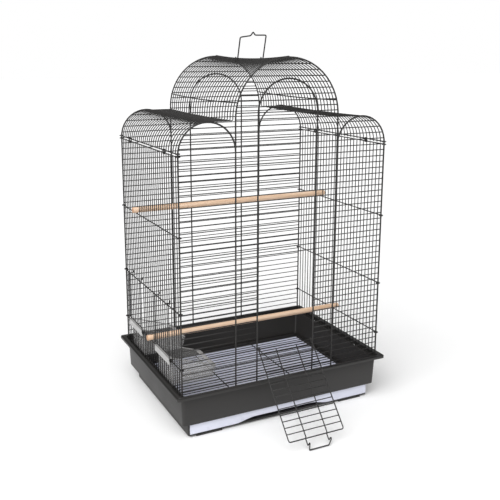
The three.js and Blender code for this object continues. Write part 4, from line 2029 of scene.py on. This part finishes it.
@dataclass
class Drawer:
    """The pale litter drawer: a shallow tub behind a front plate with a finger recess."""

    half_x: float = 0.2075
    face: float = -0.1635
    back: float = 0.144
    low: float = 0.0073
    high: float = 0.0288
    front_thickness: float = 0.003
    pocket_depth: float = 0.012
    wall: float = 0.0018
    recess_half_width: float = 0.110
    recess_flat_half_width: float = 0.066
    recess_rise: float = 0.0072
    ramp_steps: int = 8
    edge: float = 0.0005
    edge_degrees: float = 30.0

    @property
    def tub_front(self) -> float:
        """The Y of the tub's front wall, behind the finger pocket."""
        return self.face + self.front_thickness + self.pocket_depth

    def tub(self) -> Piece:
        """Hollows the tub out of a block.

        Returns:
            The tub.
        """
        low = (-self.half_x, self.tub_front, self.low)
        high = (self.half_x, self.back, self.high)
        tub = Bench.box("drawer_tub", low, high)
        Bench.edit_faces(tub, Bench.looks_up)
        bpy.ops.mesh.inset(thickness=self.wall)
        Bench.extrude((0.0, 0.0, self.low + self.wall - self.high))
        Bench.finish_edit()
        return tub

    def front(self) -> Piece:
        """Makes the front plate and raises the middle of its lower edge.

        Returns:
            The front plate.
        """
        low = (-self.half_x, self.face, self.low)
        high = (self.half_x, self.face + self.front_thickness, self.high)
        plate = Bench.box("drawer_front", low, high)
        run = self.recess_half_width - self.recess_flat_half_width
        middle = (self.low + self.high) / 2
        for step in range(self.ramp_steps + 1):
            for side in (-1, 1):
                x = side * (self.recess_half_width - run * step / self.ramp_steps)
                Bench.edit_faces(plate, lambda face: True)
                bpy.ops.mesh.bisect(plane_co=(x, 0.0, 0.0), plane_no=(1.0, 0.0, 0.0))
                Bench.finish_edit()
        before = 0.0
        for step in range(1, self.ramp_steps + 1):
            share = step / self.ramp_steps
            rise = self.recess_rise * share**2 * (3 - 2 * share)
            reach = self.recess_half_width - run * (step - 0.5) / self.ramp_steps
            Bench.edit_points(
                plate, lambda point, reach=reach: abs(point.x) < reach and point.z < middle
            )
            bpy.ops.transform.translate(value=(0.0, 0.0, rise - before))
            Bench.finish_edit()
            before = rise
        return plate

    def pocket(self) -> list[Piece]:
        """Makes the roof and the cheeks that tie the front plate to the tub.

        Returns:
            The roof and both cheeks.
        """
        back = self.tub_front + self.wall / 2
        front = self.face + self.front_thickness / 2
        roof = Bench.box(
            "drawer_pocket_roof",
            (-self.half_x + self.wall / 2, front, self.high - self.wall),
            (self.half_x - self.wall / 2, back, self.high),
        )
        cheeks = []
        for side in Side:
            xs = sorted((side.value * self.half_x, side.value * (self.half_x - self.wall)))
            cheeks.append(
                Bench.box("drawer_cheek", (xs[0], front, self.low), (xs[1], back, self.high))
            )
        return [roof] + cheeks

    def build(self, finishes: Finishes) -> None:
        """Makes and dresses the drawer.

        Args:
            finishes: The materials.
        """
        drawer = self.front()
        for part in [self.tub()] + self.pocket():
            Bench.combine(drawer, part, "UNION")
        Bench.soften(drawer, self.edge, self.edge_degrees)
        Bench.smooth(drawer)
        moulding = Bench.join("drawer_moulding", [drawer])
        dress(moulding, finishes, Slot.DRAWER, "drawer", "drawer")


@dataclass
class FloorGrille:
    """The grid over the drawer: two long rods on an edge frame and the fine cross wires."""

    shape: CageShape
    level: float = 0.0345
    edge_x: float = 0.2136
    edge_y: float = 0.1566
    rod_offset: float = 0.075
    corner: float = 0.008
    corner_steps: int = 6

    def build(self, finishes: Finishes) -> None:
        """Makes and dresses the grille.

        Args:
            finishes: The materials.
        """
        shape = self.shape
        x, y, z = self.edge_x, self.edge_y, self.level
        corners = [(0.0, -y, z), (-x, -y, z), (-x, y, z), (x, y, z), (x, -y, z), (0.0, -y, z)]
        line = WireBench.rounded(corners, self.corner, self.corner_steps)[:-1]
        wires = [WireBench.bent("floor_grille_edge", line, shape.rail_wire, True)]
        for side in Side:
            middle = (side.value * self.rod_offset, 0.0, z)
            wires.append(
                WireBench.straight("floor_grille_rod", Axis.Y, middle, 2 * y, shape.rail_wire)
            )
        cross = WireBench.straight(
            "floor_grille_cross", Axis.X, (0.0, 0.0, z), 2 * x, shape.fine_wire
        )
        last = shape.half_depth - shape.pitch
        places = steps_between(-last, last, shape.pitch)
        moves = along_y(place for place in places if abs(place) < y)
        wires += Bench.copies(cross, moves)
        grille = Bench.join("floor_grille_wires", wires)
        dress(grille, finishes, Slot.WIRE, "cage", "floor_grille")


# Studio


@dataclass
class Camera:
    """The photo's camera, as fitted to the cage's corners."""

    place: Point = (-0.6915, -1.3836, 0.7353)
    yaw_degrees: float = 26.67
    pitch_degrees: float = -12.78
    roll_degrees: float = 0.20
    lens: float = 52.84
    sensor: float = 36.0
    shift_y: float = -0.06

    def build(self) -> None:
        """Adds the camera and makes it the scene's."""
        yaw, pitch, roll = (
            math.radians(angle)
            for angle in (self.yaw_degrees, self.pitch_degrees, self.roll_degrees)
        )
        level_right = Vector((math.cos(yaw), -math.sin(yaw), 0.0))
        ahead = Vector(
            (math.sin(yaw) * math.cos(pitch), math.cos(yaw) * math.cos(pitch), math.sin(pitch))
        )
        level_up = level_right.cross(ahead)
        right = math.cos(roll) * level_right + math.sin(roll) * level_up
        up = -math.sin(roll) * level_right + math.cos(roll) * level_up
        turn = Matrix((right, up, -ahead)).transposed().to_4x4()
        data = bpy.data.cameras.new("camera")
        data.lens = self.lens
        data.sensor_width = self.sensor
        data.shift_y = self.shift_y
        camera = bpy.data.objects.new("camera", data)
        camera.matrix_world = Matrix.Translation(self.place) @ turn
        bpy.context.collection.objects.link(camera)
        bpy.context.scene.camera = camera


@dataclass
class Studio:
    """A white floor under two broad soft suns, with a white room for the camera."""

    floor_size: float = 40.0
    floor_steps: int = 8
    sun_turn: Point = (0.72, 0.0, -0.62)
    sun_power: float = 2.8
    sun_degrees: float = 70.0
    side_turn: Point = (0.95, 0.0, -1.35)
    side_power: float = 1.1
    side_degrees: float = 60.0
    room_light: float = 0.3
    floor_roughness: float = 0.95
    floor_cloud_scale: float = 3.0
    floor_detail: float = 2.0
    floor_white: Colour = (0.95, 0.95, 0.95, 1.0)
    floor_pale: Colour = (0.93, 0.93, 0.93, 1.0)

    def sun(self, name: str, turn: Point, power: float, degrees: float) -> None:
        """Hangs one broad soft sun.

        Args:
            name: Its name.
            turn: Its turn in radians.
            power: Its power in watts per square metre.
            degrees: The angle that it spans in the sky.
        """
        data = bpy.data.lights.new(name, "SUN")
        data.energy = power
        data.angle = math.radians(degrees)
        lamp = bpy.data.objects.new(name, data)
        lamp.rotation_euler = turn
        bpy.context.collection.objects.link(lamp)

    def floor_material(self) -> bpy.types.Material:
        """Makes a white floor that keeps the object's shadow.

        Returns:
            The material.
        """
        graph = Graph("studio_floor")
        clouds = graph.noise(self.floor_cloud_scale, self.floor_detail)
        sockets = {
            "Base Color": graph.blend(clouds, self.floor_white, self.floor_pale),
            "Roughness": self.floor_roughness,
        }
        return graph.principled(sockets)

    def floor(self) -> None:
        """Lays the floor."""
        Bench.clear()
        bpy.ops.mesh.primitive_grid_add(
            x_subdivisions=self.floor_steps, y_subdivisions=self.floor_steps, size=self.floor_size
        )
        floor = Bench.added("studio_floor")
        floor.data.materials.append(self.floor_material())

    def room(self) -> None:
        """Makes the world white for the camera, and dim as a light."""
        world = bpy.data.worlds.new("studio_room")
        bpy.context.scene.world = world
        world.use_nodes = True
        tree = world.node_tree
        tree.nodes.clear()
        path = tree.nodes.new("ShaderNodeLightPath")
        white = tree.nodes.new("ShaderNodeBackground")
        white.inputs["Color"].default_value = (1.0, 1.0, 1.0, 1.0)
        dim = tree.nodes.new("ShaderNodeBackground")
        dim.inputs["Color"].default_value = (1.0, 1.0, 1.0, 1.0)
        dim.inputs["Strength"].default_value = self.room_light
        mix = tree.nodes.new("ShaderNodeMixShader")
        output = tree.nodes.new("ShaderNodeOutputWorld")
        tree.links.new(path.outputs["Is Camera Ray"], mix.inputs["Fac"])
        tree.links.new(dim.outputs["Background"], mix.inputs[1])
        tree.links.new(white.outputs["Background"], mix.inputs[2])
        tree.links.new(mix.outputs["Shader"], output.inputs["Surface"])

    def build(self) -> None:
        """Sets up the floor, the suns and the room."""
        self.floor()
        self.sun("key_sun", self.sun_turn, self.sun_power, self.sun_degrees)
        self.sun("side_sun", self.side_turn, self.side_power, self.side_degrees)
        self.room()
        bpy.context.scene.view_settings.view_transform = "Standard"


def build_cage(finishes: Finishes) -> None:
    """Builds every piece of the cage in order, from the base upwards.

    Args:
        finishes: The materials.
    """
    shape = CageShape()
    BaseTray().build(finishes)
    Drawer().build(finishes)
    FloorGrille(shape).build(finishes)
    for end in End:
        EndPanel(shape, end).build(finishes)
    SidePanel(shape, Side.LEFT, (shape.front_bay, shape.back_bay)).build(finishes)
    SidePanel(shape, Side.RIGHT).build(finishes)
    RoofPanel(shape).build(finishes)
    for side in Side:
        for end in End:
            EaveClip(shape, side, end).build(finishes)
    FrontDoor(shape).build(finishes)
    CarryHandle(shape).build(finishes)
    Perch("upper_perch", *shape.upper_perch).build(finishes)
    Perch("lower_perch", *shape.lower_perch).build(finishes)
    for name, bay in (("front", shape.front_bay), ("back", shape.back_bay)):
        middle = (bay[0] + bay[1]) / 2
        FeederCup(f"{name}_feeder_cup", middle).build(finishes)
        FeederDoor(shape, f"{name}_feeder_door", middle).build(finishes)


def main() -> None:
    """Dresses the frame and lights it."""
    logging.basicConfig(level=logging.INFO)
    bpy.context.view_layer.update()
    build_cage(Finishes())
    Studio().build()
    Camera().build()


if __name__ == "__main__":
    main()
